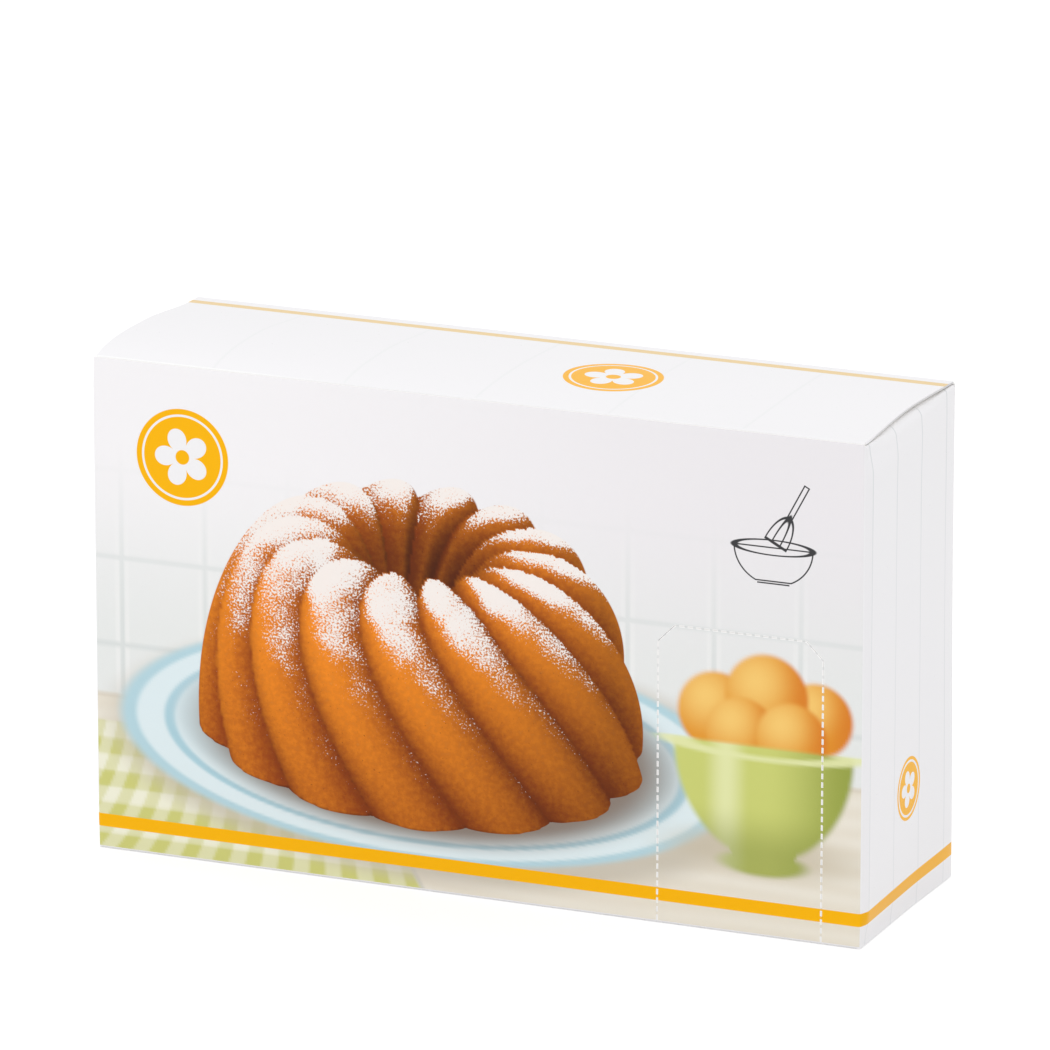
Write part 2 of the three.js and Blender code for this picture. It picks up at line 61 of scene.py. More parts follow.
SIDES = ((1, "right"), (-1, "left"))

# Carton.
HALF_WIDTH = 140.0
HALF_DEPTH = 42.5
HEIGHT = 175.0
BOARD = 0.7
BOARD_GLOSS = 0.15
BOARD_ROUGHNESS = 0.3
CORNER_RADIUS = 1.0
PRINT_HALF_WIDTH = 139.8
FLAT_HALF_WIDTH = HALF_WIDTH - CORNER_RADIUS
LAYER = 1.0
SLIP = 0.12
FOLD_RADIUS = 1.0
END_FOLD_RADIUS = 3.5
CRISP_RADIUS = 0.8
LID_HALF_WIDTH = 139.5
LID_FRONT = -41.3
LID_WAIST = 1.3
LEFT_SWELL = 3.6
RIGHT_SWELL = 0.7
TUCK_FOLD_HALF_WIDTH = 139.2
TUCK_LEAN = 7.0
TUCK_DEPTH = 18.0
TUCK_HALF_WIDTH = 134.0
TUCK_RADIUS = 14.0
FLAP_LEFT, FLAP_RIGHT = 67.0, 126.0
FLAP_TOP = 105.0
FLAP_SHOULDER = 6.0
CUT_GAP = 0.08
DUST_FRONT, DUST_BACK = -37.1, 38.5
DUST_LENGTH = 60.0
DUST_CHAMFER = 16.0
DUST_TIP = 26.0
DUST_SLIT = 0.12
SLIT_DEPTH = 0.6
FOLD_FRONT, FOLD_BACK = -40.6, 41.0
END_LOW = 0.25
END_LAP = 0.05
CORNER_RISE = 0.25
LOW_BOARD = 0.95
BOTTOM_END_LENGTH = 66.0
GLUE_LEFT, GLUE_RIGHT = -137.0, -122.0
GLUE_LOW, GLUE_HIGH = 7.7, 168.0
GLUE_FACE = 41.5
STRIPE_LOW, STRIPE_HIGH = 8.0, 12.6

# Leaflet.
LEAF_WIDTH = 69.2
LEAF_LOW, LEAF_HIGH = 3.0, 151.0
LEAF_X, LEAF_FRONT = -136.18, -34.6
LEAF_LAYER = 0.36
PAPER_SHEET = 0.1

# Mould, collar and stand.
MOULD_LENGTH = 186.0
MOULD_HEIGHT = 134.0
MOULD_HALF_WIDTH = 32.0
MOULD_LEFT = -MOULD_LENGTH / 2
MOUTH_LEVEL = 24.6
SHEET = 0.7
PARTING_GAP = 0.3
FLANGE = 5.0
FLANGE_START = 24.0
FLANGE_BEAD = 3.4
BEAD_WIDTH = 0.7
BEAD_HEIGHT = 0.7
EDGE_ROUNDING = 20.0
LOBE_SHARPNESS = 6
THINNEST_LOBE = 0.2
THICKEST_SLOPE = 3.0
STAND_SHEET = 1.0
BASE_TOP = 4.0
BASE_HALF_LENGTH, BASE_HALF_WIDTH = 123, 36
COLLAR_BOTTOM = 4.3
COLLAR_HEIGHT = 20.0
COLLAR_CENTRE = -11.625
COLLAR_HALF_LENGTH = 82.075
COLLAR_HALF_WIDTH = 33.55
COLLAR_RADIUS = 20.0
COLLAR_WALL = 1.0
COLLAR_LIP = 4.0
POST_INSIDE = 106.0
POST_OUTSIDE = POST_INSIDE + STAND_SHEET
POST_HALF_WIDTH = 25.0
POST_BOTTOM = 4.3
POST_TOP = 154.3
POST_BEND = 1.5
POST_FOOT = 13.0
SLOT_HALF_WIDTH = 2.2
SLOT_LOW = 25.3
KNOB_LEVEL = 104.8
CLAMP_GAP = 0.3
NUT_DEPTH = 3.0
NUT_FLAT = 4.33
RIVET_X, RIVET_Y = 113.5, 17.0
RIVET_HOLE = 1.9


def smooth(value, low, high):
    """0 at low, 1 at high, with a soft start and end."""
    share = np.clip((value - low) / (high - low), 0, 1)
    return share * share * (3 - 2 * share)


def colour(*levels):
    """Linear levels from 0 to 255 display levels."""
    shares = [level / 255 for level in levels]
    return tuple(share / 12.92 if share <= 0.04045 else ((share + 0.055) / 1.055) ** 2.4 for share in shares)


def lay(tones, above, share):
    """Lays a display colour, or a tone for each point, over the tones by a share for each point."""
    above = np.array(colour(*above)) if isinstance(above, tuple) else above
    tones += (above - tones) * share[:, None]


# Shader nodes.
def feed(tree, value, socket):
    """Sets a socket, or links it where the value comes from another node."""
    value = value.socket if isinstance(value, Field) else value
    if isinstance(value, bpy.types.NodeSocket):
        tree.links.new(value, socket)
    else:
        socket.default_value = value


def add_node(tree, kind, inputs, output=0, **settings):
    """One output of a new node, with the node's inputs by name or number."""
    node = tree.nodes.new("ShaderNode" + kind)
    for name, value in settings.items():
        setattr(node, name, value)
    for name, value in inputs.items():
        feed(tree, value, node.inputs[name])
    return node.outputs[output] if len(node.outputs) else None


class Field:
    """A number that varies over a surface, worked out by a material's nodes."""

    def __init__(self, tree, socket):
        self.tree = tree
        self.socket = socket

    def combine(self, operation, *others):
        inputs = dict(enumerate((self, *others)))
        return Field(self.tree, add_node(self.tree, "Math", inputs, operation=operation))

    def __add__(self, other):
        return self.combine("ADD", other)

    def __sub__(self, other):
        return self.combine("SUBTRACT", other)

    def __mul__(self, other):
        return self.combine("MULTIPLY", other)

    def __truediv__(self, other):
        return self.combine("DIVIDE", other)

    def times_plus(self, factor, addend):
        return self.combine("MULTIPLY_ADD", factor, addend)

    def size(self):
        return self.combine("ABSOLUTE")

    def most(self, other):
        return self.combine("MAXIMUM", other)

    def hypot(self, other):
        return (self * self + other * other).combine("SQRT")

    def rise(self, low, high):
        """0 at low and 1 at high, softly. It falls where low is above high."""
        falls = low > high
        return Field(self.tree, add_node(self.tree, "MapRange", {
            "Value": self, "From Min": min(low, high), "From Max": max(low, high),
            "To Min": float(falls), "To Max": float(not falls),
        }, interpolation_type="SMOOTHSTEP"))


class Paint:
    """A procedural material: a Principled surface whose colour is built up in coats."""

    def __init__(self, name, base, roughness, metallic=0.0, specular=0.5):
        self.material = bpy.data.materials.new(name)
        self.material.use_nodes = True
        self.material.diffuse_color = (*base, 1)
        self.tree = self.material.node_tree
        self.shader = self.tree.nodes["Principled BSDF"].inputs
        self.shader["Metallic"].default_value = metallic
        self.shader["Roughness"].default_value = roughness
        self.shader["Specular IOR Level"].default_value = specular
        self.tone = (*base, 1)
        self.places = {}

    def stored(self, name, output):
        """A number, vector or colour that is stored on the piece's points."""
        return add_node(self.tree, "Attribute", {}, output, attribute_name=name)

    def scaled(self, socket, factor):
        return add_node(self.tree, "VectorMath", {0: socket, "Scale": factor}, operation="SCALE")

    def place(self, name, scale=1.0):
        """The point's own coordinates on its flat sheet, in millimetres."""
        key = (name, scale)
        if key not in self.places:
            socket = self.stored(name, "Vector")
            self.places[key] = socket if scale == 1.0 else self.scaled(socket, scale)
        return self.places[key]

    def axes(self, name="sheet"):
        sockets = add_node(self.tree, "SeparateXYZ", {0: self.place(name)}).node.outputs
        return [Field(self.tree, socket) for socket in sockets]

    def noise(self, grain, detail=2.0, rough=0.5, stretch=None):
        """Noise whose features are about one grain wide."""
        socket = self.place("sheet", 1.0 / grain)
        if stretch:
            socket = add_node(self.tree, "VectorMath", {0: socket, 1: stretch}, operation="MULTIPLY")
        inputs = {"Vector": socket, "Scale": 1.0, "Detail": detail, "Roughness": rough}
        return Field(self.tree, add_node(self.tree, "TexNoise", inputs))

    def coat(self, above, share):
        """Lays a colour over what is there, by a share from 0 to 1."""
        above = (*above, 1) if isinstance(above, tuple) else above
        inputs = {0: share, 6: self.tone, 7: above}
        self.tone = add_node(self.tree, "Mix", inputs, 2, data_type="RGBA", clamp_factor=True)

    def mottle(self, above, grain, low, high, share):
        """A coat in spots, where the noise of a grain is high."""
        self.coat(above, self.noise(*grain).rise(low, high) * share)

    def layer(self, base):
        """A second run of coats in the same material, for a part of the print."""
        made = copy.copy(self)
        made.tone = (*base, 1)
        return made

    def drive(self, name, value):
        feed(self.tree, value, self.shader[name])

    def relief(self, field, height, strength):
        inputs = {"Strength": strength, "Distance": height * MM, "Height": field}
        self.drive("Normal", add_node(self.tree, "Bump", inputs))

    def done(self):
        self.drive("Base Color", self.tone)
        return self.material


# Flat shapes and how they are cut into triangles.
def unit(rows):
    return rows / np.linalg.norm(rows, axis=1)[:, None]


def sides_of(loop):
    """The start and the end of each side of a closed outline."""
    loop = np.asarray(loop, float)
    return zip(loop, np.roll(loop, -1, axis=0))


def depth_in(points, loops):
    """How far points lie inside closed outlines: positive inside, negative outside."""
    nearest = np.full(len(points), np.inf)
    inside = np.zeros(len(points), bool)
    for loop in loops:
        for start, end in sides_of(loop):
            along = end - start
            if along @ along < TINY:
                continue
            offset = points - start
            share = np.clip(offset @ along / (along @ along), 0, 1)
            gap = offset - share[:, None] * along
            nearest = np.minimum(nearest, np.einsum("ij,ij->i", gap, gap))
            if start[1] != end[1]:
                crosses = (start[1] > points[:, 1]) != (end[1] > points[:, 1])
                where = start[0] + (points[:, 1] - start[1]) * along[0] / along[1]
                inside ^= crosses & (points[:, 0] < where)
    nearest = np.sqrt(nearest)
    return np.where(inside, nearest, -nearest)


def lines(low, high, step, *fine):
    """Grid lines from low to high, closer together inside each fine (from, to, step)."""
    stops = {low, high}
    for start, end, _ in fine:
        stops.update((start, end))
    stops = sorted(stop for stop in stops if low <= stop <= high)
    found = []
    for start, end in zip(stops, stops[1:]):
        middle = (start + end) / 2
        here = min([step] + [f[2] for f in fine if f[0] <= middle <= f[1]])
        count = max(1, round((end - start) / here))
        found.extend(np.linspace(start, end, count + 1)[:-1])
    return np.array([*found, stops[-1]])


SHORTEST_EDGE = 0.12


def split_edges(loop, us, vs):
    """An outline with a point wherever it crosses a grid line."""
    points = []
    for start, end in sides_of(loop):
        along = end - start
        shares = [0.0]
        for axis, grid in ((0, us), (1, vs)):
            if abs(along[axis]) > TINY and len(grid):
                shares.extend((grid - start[axis]) / along[axis])
        last = -1.0
        least = SHORTEST_EDGE / max(math.hypot(*along), TINY)
        for share in sorted(share for share in shares if 0 <= share < 1):
            if share - last > least and (share == 0 or 1 - share > least):
                points.append(start + share * along)
                last = share
    return np.array(points)


def triangulate(loops, shape, us, vs):
    """Points and triangles that fill the first loop but not the holes after it. shape is the same
    outline with fewer points, which says what is inside."""
    points = np.concatenate(loops)
    if len(us) > 2 or len(vs) > 2:
        grid = np.stack(np.meshgrid(us, vs, indexing="ij"), -1).reshape(-1, 2)
        step = min(np.diff(axis).min() for axis in (us, vs) if len(axis) > 1)
        grid = grid[depth_in(grid, shape) > 0.35 * step]
        points = np.concatenate([points, grid])
    begins = np.cumsum([0] + [len(loop) for loop in loops]).tolist()
    rings = [list(range(*span)) for span in zip(begins, begins[1:])]
    edges = [edge for ring in rings[1:] for edge in zip(ring, ring[1:] + ring[:1])]
    made = delaunay_2d_cdt([Vector(p) for p in points], edges, [rings[0]], 1, 1e-7, True)
    found = np.array([points[sources[0]] if sources else tuple(p) for p, sources in zip(made[0], made[3])])
    faces = np.array([tuple(face) for face in made[2]])
    faces = faces[depth_in(found[faces].mean(axis=1), shape) > 0]
    made_from = {source: index for index, sources in enumerate(made[3]) for source in sources}
    return found, faces, [[made_from[number] for number in ring] for ring in rings]


def offset_loop(loop, distance):
    """A closed outline moved into its left side by a small distance."""
    loop = np.asarray(loop, float)
    both = unit(loop - np.roll(loop, 1, axis=0)) + unit(np.roll(loop, -1, axis=0) - loop)
    inward = np.stack([-both[:, 1], both[:, 0]], axis=1)
    lengths = np.linalg.norm(inward, axis=1)
    return loop + unit(inward) * (distance / np.clip(lengths / 2, 0.5, 1))[:, None]


def show(name, mesh):
    piece = bpy.data.objects.new(name, mesh)
    bpy.context.scene.collection.objects.link(piece)
    return piece


def shade_smooth(mesh):
    mesh.polygons.foreach_set("use_smooth", np.ones(len(mesh.polygons), bool))
    mesh.set_sharp_from_angle(angle=math.radians(35))


def new_mesh(name, points, faces, materials, slots=None):
    """An object from points in millimetres and triangles or quads, with a material slot per face."""
    mesh = bpy.data.meshes.new(name)
    mesh.from_pydata((points * MM).tolist(), [], [list(map(int, face)) for face in faces])
    for material in materials:
        mesh.materials.append(material)
    if slots:
        mesh.polygons.foreach_set("material_index", np.asarray(slots, np.int32))
    shade_smooth(mesh)
    mesh.validate()
    return show(name, mesh)


def keep(piece, name, values):
    """Stores numbers on a piece's points: single values or vectors."""
    values = np.asarray(values, np.float32)
    kind, field = ("FLOAT", "value") if values.ndim == 1 else ("FLOAT_VECTOR", "vector")
    piece.data.attributes.new(name, kind, "POINT").data.foreach_set(field, values.ravel())


# Each ring of a softened cut edge: how far in it lies, and how deep from its own side of the sheet,
# as shares of the bevel.
EDGE_RINGS = ((0.3, 0.13), (0.0, 1.0), (0.0, -1.0), (0.3, -0.13))


def sheet(name, outline, grid, place, thickness, materials, holes=(), back=None, bevel=0.0, fields=None):
    """A closed sheet: place(u, v, depth) takes flat coordinates to a point, with depth 0 on the outside.
    materials are those of the outside, the inside and the cut edge."""
    shape = (outline, *holes)
    loops = [split_edges(loop, *grid) for loop in shape]
    rims = [offset_loop(loop, bevel) for loop in loops] if bevel else loops
    near_flat, near_faces, near_rims = triangulate(rims, shape, *grid)
    far_flat, far_faces, far_rims = near_flat, near_faces, near_rims
    if back:
        far_flat, far_faces, far_rims = triangulate(rims, shape, *back)
    flat = []
    points = []

    def add(ring, depth):
        """Places flat points at a depth and gives their numbers."""
        start = sum(map(len, flat))
        flat.append(ring)
        points.append(place(ring[:, 0], ring[:, 1], np.full(len(ring), float(depth))))
        return list(range(start, start + len(ring)))

    add(near_flat, 0)
    first_far = add(far_flat, thickness)[0]
    faces = [tuple(face) for face in near_faces] + [tuple(first_far + face[::-1]) for face in far_faces]
    slots = [0] * len(near_faces) + [1] * len(far_faces)
    for loop, near_rim, far_rim in zip(loops, near_rims, far_rims):
        rings = [near_rim]
        for share, level in EDGE_RINGS if bevel else ():
            ring = offset_loop(loop, bevel * share) if share else loop
            rings.append(add(ring, bevel * level + (0 if level > 0 else thickness)))
        rings.append([first_far + i for i in far_rim])
        for near, far in zip(rings, rings[1:]):
            for corners in zip(near[1:] + near[:1], near, far, far[1:] + far[:1]):
                faces.append(corners)
                slots.append(2)
    points = np.concatenate(points)
    flat = np.concatenate(flat)
    first, second, third = points[near_faces[0]]
    inward = place(*[np.array([c]) for c in (*near_flat[near_faces[0][0]], thickness)])[0] - first
    if np.cross(second - first, third - first) @ inward > 0:
        faces = [face[::-1] for face in faces]
    piece = new_mesh(name, points, faces, materials, slots)
    labels = {"sheet": np.column_stack([flat, np.zeros(len(flat))])}
    if fields:
        labels.update(fields(*flat.T))
    for label, values in labels.items():
        keep(piece, label, values)
    return piece


class Profile:
    """A line of straight runs and round turns in a plane, measured along its length.
    A move is (length,) or (turn in degrees, radius). Turns to the left are positive."""

    def __init__(self, start, heading, moves):
        point = np.array(start, float)
        angle = math.radians(heading)
        self.parts = []
        self.stops = [0.0]
        for move in moves:
            length, bend = move[0], 0.0
            if len(move) > 1:
                turn = math.radians(move[0])
                length, bend = abs(turn) * move[1], math.copysign(1 / move[1], turn)
            self.parts.append((self.stops[-1], point, angle, bend))
            point, angle = self.run(point, angle, bend, np.array(length))
            self.stops.append(self.stops[-1] + length)

    @staticmethod
    def run(point, angle, bend, length):
        end = angle + bend * length
        if bend:
            offset = np.stack([np.sin(end) - math.sin(angle), math.cos(angle) - np.cos(end)], -1) / bend
        else:
            offset = np.stack([length * math.cos(angle), length * math.sin(angle)], -1)
        return point + offset, end

    def at(self, lengths, left=0.0):
        """Points along the line, moved to its left side."""
        lengths = np.asarray(lengths, float)
        points = np.zeros((len(lengths), 2))
        angles = np.zeros(len(lengths))
        for index, (begin, start, angle, bend) in enumerate(self.parts):
            here = lengths >= begin if index else np.ones(len(lengths), bool)
            points[here], angles[here] = self.run(start, angle, bend, lengths[here] - begin)
        side = np.stack([-np.sin(angles), np.cos(angles)], -1)
        return points + side * np.asarray(left).reshape(-1, 1)


def rounded(points, radii, steps=5):
    """A closed outline with its corners rounded, each by its own radius."""
    made = []
    points = [np.array(p, float) for p in points]
    for index, (corner, radius) in enumerate(zip(points, radii)):
        if not radius:
            made.append(corner)
            continue
        before, after = unit(np.array([points[index - 1], points[(index + 1) % len(points)]]) - corner)
        half = math.acos(max(-1.0, min(1.0, before @ after))) / 2
        centre = corner + (before + after) / np.linalg.norm(before + after) * radius / math.sin(half)
        start = corner + before * radius / math.tan(half) - centre
        end = corner + after * radius / math.tan(half) - centre
        sweep = math.pi - 2 * half
        for share in np.linspace(0, 1, steps + 1):
            arm = start * math.sin((1 - share) * sweep) + end * math.sin(share * sweep)
            made.append(centre + arm / math.sin(sweep))
    return np.array(made)


def box_loop(left, low, right, high, radius=0.0, steps=5):
    return rounded([(left, low), (right, low), (right, high), (left, high)], [radius] * 4, steps)


def hole_loop(x, y, radius=RIVET_HOLE, count=16):
    """A round hole's outline, clockwise."""
    angles = np.arange(count) * 2 * math.pi / count
    return np.stack([x + radius * np.cos(angles), y + radius * np.sin(angles)], -1)[::-1]


def ring_solid(name, rings, material, closed=False):
    """A solid whose skin joins each ring of points to the next. A ring may be a single point."""
    points = np.concatenate(rings)
    begins = np.cumsum([0] + [len(ring) for ring in rings]).tolist()
    numbers = [list(range(*span)) for span in zip(begins, begins[1:])]
    faces = []
    for near, far in zip(numbers, numbers[1:] + (numbers[:1] if closed else [])):
        count = max(len(near), len(far))
        for step in range(count):
            after = (step + 1) % count
            corners = [near[turn % len(near)] for turn in (after, step)]
            corners += [far[turn % len(far)] for turn in (step, after)]
            faces.append(tuple(dict.fromkeys(corners)))
    piece = new_mesh(name, points, faces, (material,))
    arms = points - points.mean(axis=0)
    volume = sum(arms[face[0]] @ np.cross(arms[b], arms[c])
                 for face in faces for b, c in zip(face[1:], face[2:]))
    if volume < 0:
        piece.data.flip_normals()
    keep(piece, "sheet", points)
    return piece


def lathe(name, section, centre, axis, material, count, ripple=None, closed=False):
    """A turned solid. section is (radius, along) points; ripple(angles, radius) changes the radius."""
    axis = np.array(axis, float)
    side = np.array((0.0, 0.0, 1.0)) if abs(axis[2]) < 0.5 else np.array((1.0, 0.0, 0.0))
    across = np.cross(axis, side)
    rings = []
    for radius, along in section:
        angles = np.arange(count if radius > TINY else 1) * 2 * math.pi / count
        reach = np.reshape(ripple(angles, radius) if ripple else radius, (-1, 1))
        arms = np.outer(np.cos(angles), side) + np.outer(np.sin(angles), across)
        rings.append(np.array(centre) + axis * along + arms * reach)
    return ring_solid(name, rings, material, closed)


def settle(piece, body, slot, *nodes):
    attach(piece, body)
    if nodes:
        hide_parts(*nodes)


# The printed design: a ring cake on a plate, a bowl of apricots, plain stripes and a blossom.
CAKE_X, CAKE_Z = -20.0, 55.0
CAKE_LIFT = math.radians(24)
CAKE_RING = 47.0
CAKE_THICK = 36.0
CAKE_TALL = 77.0
CAKE_LOBES = 14
CAKE_SWIRL = 0.75
CAKE_ROUNDNESS = 2.3
CAKE_LIGHT = np.array([-0.45, -0.55, 0.7])
LOOK_STEP = 1.1
SLOPE_STEP = 0.6
TILE = 31.0
TABLE_EDGE = 55.5
BOWL_X = 105.0
BOWL_RADIUS = 32.0
# Middle along, middle up and radius.
APRICOTS = ((88, 77, 14), (124, 78, 13), (106, 84, 15), (97, 70, 13), (115, 70, 13))


def cake_groove(x, y, z):
    """1 in the middle of a groove between two ribs and 0 on the crest of a rib."""
    around = np.arctan2(y, x) + CAKE_SWIRL * np.clip(z, 0, CAKE_TALL) / CAKE_TALL
    return 1 - np.abs(np.sin(CAKE_LOBES * around / 2)) ** 0.7


def cake_field(x, y, z):
    """Below 0 inside the ring cake and above 0 outside it."""
    groove = cake_groove(x, y, z)
    taper = 1 - 0.12 * np.clip(z / CAKE_TALL, 0, 1)
    side = np.abs(np.hypot(x, y) - CAKE_RING * taper) / (CAKE_THICK * (1 - 0.17 * groove))
    up = np.abs(z) / (CAKE_TALL * (1 - 0.1 * groove))
    return side ** CAKE_ROUNDNESS + up ** CAKE_ROUNDNESS + np.where(z < 0, (-z / 3.0) ** 2 + 1, 0) - 1


def draw_cake(x, z):
    """What a look at the ring cake shows at points of the print: edge, shade, browning and sugar."""
    rise, fall = math.cos(CAKE_LIFT), math.sin(CAKE_LIFT)
    reach = CAKE_RING + CAKE_THICK + 6
    across, high = x - CAKE_X, z - CAKE_Z
    near = (np.abs(across) < reach) & (high > -reach * fall - 4) & (high < CAKE_TALL * rise + reach * fall)
    across, high = across[near], high[near]

    def spot(travel):
        """Where a look through each point has come after some travel into the picture."""
        return np.stack([across, high * fall + travel * rise, high * rise - travel * fall])

    best, first = np.full((2, len(across)), np.inf)
    nearest = np.zeros(len(across))
    for travel in np.arange(-reach - 12, reach + 30, LOOK_STEP):
        value = cake_field(*spot(travel))
        nearest = np.where(value < best, travel, nearest)
        best = np.minimum(best, value)
        first = np.where((value <= 0) & (travel < first), travel, first)
    hit = best <= 0
    far = np.where(hit, first, nearest)
    close = far - LOOK_STEP
    for _ in range(7):
        middle = (close + far) / 2
        inside = cake_field(*spot(middle)) <= 0
        close = np.where(inside, close, middle)
        far = np.where(inside, middle, far)
    point = spot(np.where(hit, far, nearest))
    steps = SLOPE_STEP * np.eye(3)[..., None]
    slope = np.stack([cake_field(*(point + step)) - cake_field(*(point - step)) for step in steps], -1)
    slope /= np.linalg.norm(slope, axis=1)[:, None] + TINY
    lit = np.clip(slope @ (CAKE_LIGHT / np.linalg.norm(CAKE_LIGHT)), 0, 1)
    groove = cake_groove(*point)
    inner = smooth(CAKE_RING * 0.9 - np.hypot(point[0], point[1]), 0, 26)
    level = np.clip(point[2] / CAKE_TALL, 0, 1)
    drawn = np.tile([[1.0], [0.7], [0.5], [0.0]], len(x))
    drawn[:, near] = (
        best,
        (0.52 + 0.56 * lit) * (1 - 0.34 * groove) * (1 - 0.62 * inner) * (0.8 + 0.2 * level),
        np.clip(0.25 + 0.5 * groove + 0.35 * inner + 0.25 * (1 - level) ** 2, 0, 1),
        smooth(slope[:, 2], 0.12, 0.95) * (1 - 0.55 * groove) * (1 - 0.75 * inner),
    )
    return drawn


def draw_backdrop(x, z):
    """The kitchen behind and under the cake."""
    def plain(*levels):
        return np.tile(colour(*levels), (len(x), 1))

    def ellipse(centre_x, centre_z, half_x, half_z):
        """Roughly how far outside an ellipse a point is, in millimetres."""
        return (np.hypot((x - centre_x) / half_x, (z - centre_z) / half_z) - 1) * min(half_x, half_z)

    tones = plain(248, 246, 248)
    lay(tones, (239, 236, 239), smooth(x, -110, 140))
    wall = smooth(z, 150, 70)
    lay(tones, (233, 236, 234), wall * 0.9)
    seam_x, seam_z = [np.abs(at / TILE - np.round(at / TILE)) * TILE for at in (x + 6, z - 12)]
    seams = np.maximum(smooth(seam_x, 1.5, 0.3), smooth(seam_z, 1.5, 0.3))
    lay(tones, (217, 222, 221), seams * wall * 0.75)
    lay(tones, (248, 248, 247), smooth(seam_x, 2.9, 2.0) * (1 - seams) * wall * 0.5)
    table = smooth(z, TABLE_EDGE + 2, TABLE_EDGE - 1)
    grain = 0.5 + 0.5 * np.sin(z * 0.9 + 2.2 * np.sin(x / 61.0) + 1.3 * np.sin(x / 23.0 + z / 19.0))
    lay(tones, (238, 232, 219), table)
    lay(tones, (226, 216, 197), table * grain * 0.35)
    lay(tones, (214, 203, 184), smooth(np.abs(z - TABLE_EDGE), 1.4, 0.2) * 0.6)
    # A checked cloth lies across the left of the table.
    slant = x + 0.55 * z
    cloth = smooth(slant, -18, -20) * smooth(z, 47, 45.6)
    turns = (slant * (1 + (z + 6) / 90.0) / 13.0, (z + 9) ** 0.92 / 8.0)
    checks = sum(0.5 + 0.5 * np.tanh(5 * np.sin(turn * 2 * math.pi)) for turn in turns)
    lay(tones, (244, 243, 222), cloth)
    lay(tones, (205, 205, 112), cloth * checks * 0.46)
    lay(tones, (150, 160, 160), smooth(np.abs(slant + 18.2), 1.6, 0.2) * smooth(z, 47, 45) * 0.3)
    # The plate, with its shadow under it and the cake's shadow on it.
    plate = ellipse(CAKE_X + 2, CAKE_Z - 4, 113, 40)
    lay(tones, (196, 188, 172), smooth(ellipse(CAKE_X + 6, CAKE_Z - 8, 116, 42), 5, -3) * 0.75)
    lay(tones, (184, 216, 226), smooth(plate, 1.0, -1.0))
    lay(tones, (226, 240, 244), smooth(plate, -1.6, -2.6))
    lay(tones, (167, 206, 219), smooth(np.abs(plate + 6.5), 1.1, 0.3) * 0.9)
    lay(tones, (205, 222, 227), smooth(ellipse(CAKE_X + 2, CAKE_Z - 2, 92, 31), 1.5, -1.5) * 0.8)
    lay(tones, (122, 96, 76), smooth(ellipse(CAKE_X + 5, CAKE_Z - 3, 90, 36), 3, -7) * 0.85)
    # A bowl of apricots stands out of focus behind the cake, to its right.
    lay(tones, (205, 194, 172), smooth(ellipse(BOWL_X + 1, 29, 33, 8), 4, -5) * 0.8)
    for centre_x, centre_z, radius in APRICOTS:
        off_x, off_z = x - centre_x, z - centre_z
        glow = smooth(np.hypot(off_x + 4, off_z - 5), radius * 1.25, 0)
        skin = plain(229, 150, 42)
        lay(skin, (250, 205, 116), glow)
        lay(skin, (214, 108, 40), smooth(off_x, 0, radius) * 0.55 * (1 - glow))
        lay(tones, skin, smooth(np.hypot(off_x, off_z), radius + 1.0, radius - 1.4))
    side = x - BOWL_X
    up = np.abs(z - 28)
    cup = smooth(ellipse(BOWL_X, 66, BOWL_RADIUS, 39), 1.6, -1.2) * smooth(z, 67.2, 65.6) * smooth(z, 27, 29)
    foot = smooth(ellipse(BOWL_X, 25.5, 15.5, 4.4), 1.1, -1.1) * smooth(z, 32, 30)
    waist = smooth(np.abs(side) - 11.5 - 0.35 * up ** 1.2, 0.7, -0.7) * smooth(up, 4, 3)
    turned = np.clip(side / BOWL_RADIUS, -1, 1)
    glaze = plain(206, 212, 120)
    lay(glaze, (146, 158, 66), smooth(turned, 0.0, 1.0) * 0.9)
    lay(glaze, (236, 240, 186), smooth(np.abs(turned + 0.42), 0.28, 0.0) * 0.8)
    lay(glaze, (132, 142, 62), smooth(z, 46, 28) * 0.55)
    lay(tones, glaze, np.maximum.reduce([cup, foot, waist]))
    rim = smooth(np.abs(ellipse(BOWL_X, 66.5, BOWL_RADIUS, 4.2)), 1.4, 0.3) * smooth(z, 67.4, 66.4)
    lay(tones, (232, 236, 178), rim * 0.9)
    return tones


def flap_corners(gap=0.0):
    """The perforated cut's corners, up its left side, over its top and down its right side."""
    left, right, top = FLAP_LEFT - gap, FLAP_RIGHT + gap, FLAP_TOP + gap
    return [(left, LAYER), (left, top - FLAP_SHOULDER), (left + FLAP_SHOULDER, top),
            (right - FLAP_SHOULDER, top), (right, top - FLAP_SHOULDER), (right, LAYER)]


def cut_track(x, z):
    """How far a point is from the perforated cut, and how far along it."""
    points = np.stack([x, z], -1)
    corners = np.array(flap_corners())
    nearest = np.full(len(x), np.inf)
    along = np.zeros(len(x))
    run = 0.0
    for start, end in zip(corners, corners[1:]):
        span = end - start
        length = math.hypot(*span)
        offset = points - start
        share = np.clip(offset @ span / length ** 2, 0, 1)
        gap = np.linalg.norm(offset - share[:, None] * span, axis=1)
        along = np.where(gap < nearest, run + share * length, along)
        nearest = np.minimum(nearest, gap)
        run += length
    return nearest, along


def front_fields(x, z):
    edge, *looks = draw_cake(x, z)
    return {
        "backdrop": draw_backdrop(x, z),
        "cake": np.stack(looks, -1),
        "cake_edge": edge,
        "cut": np.stack([*cut_track(x, z), np.zeros(len(x))], -1),
    }


ORANGE = colour(253, 185, 0)
PALE_ORANGE = colour(250, 182, 0)
WHITE_BOARD = colour(245, 244, 246)
# Near white for the painted highlight on the lid's front fold.
HIGHLIGHT_WHITE = colour(254, 254, 254)
INK = colour(62, 62, 64)


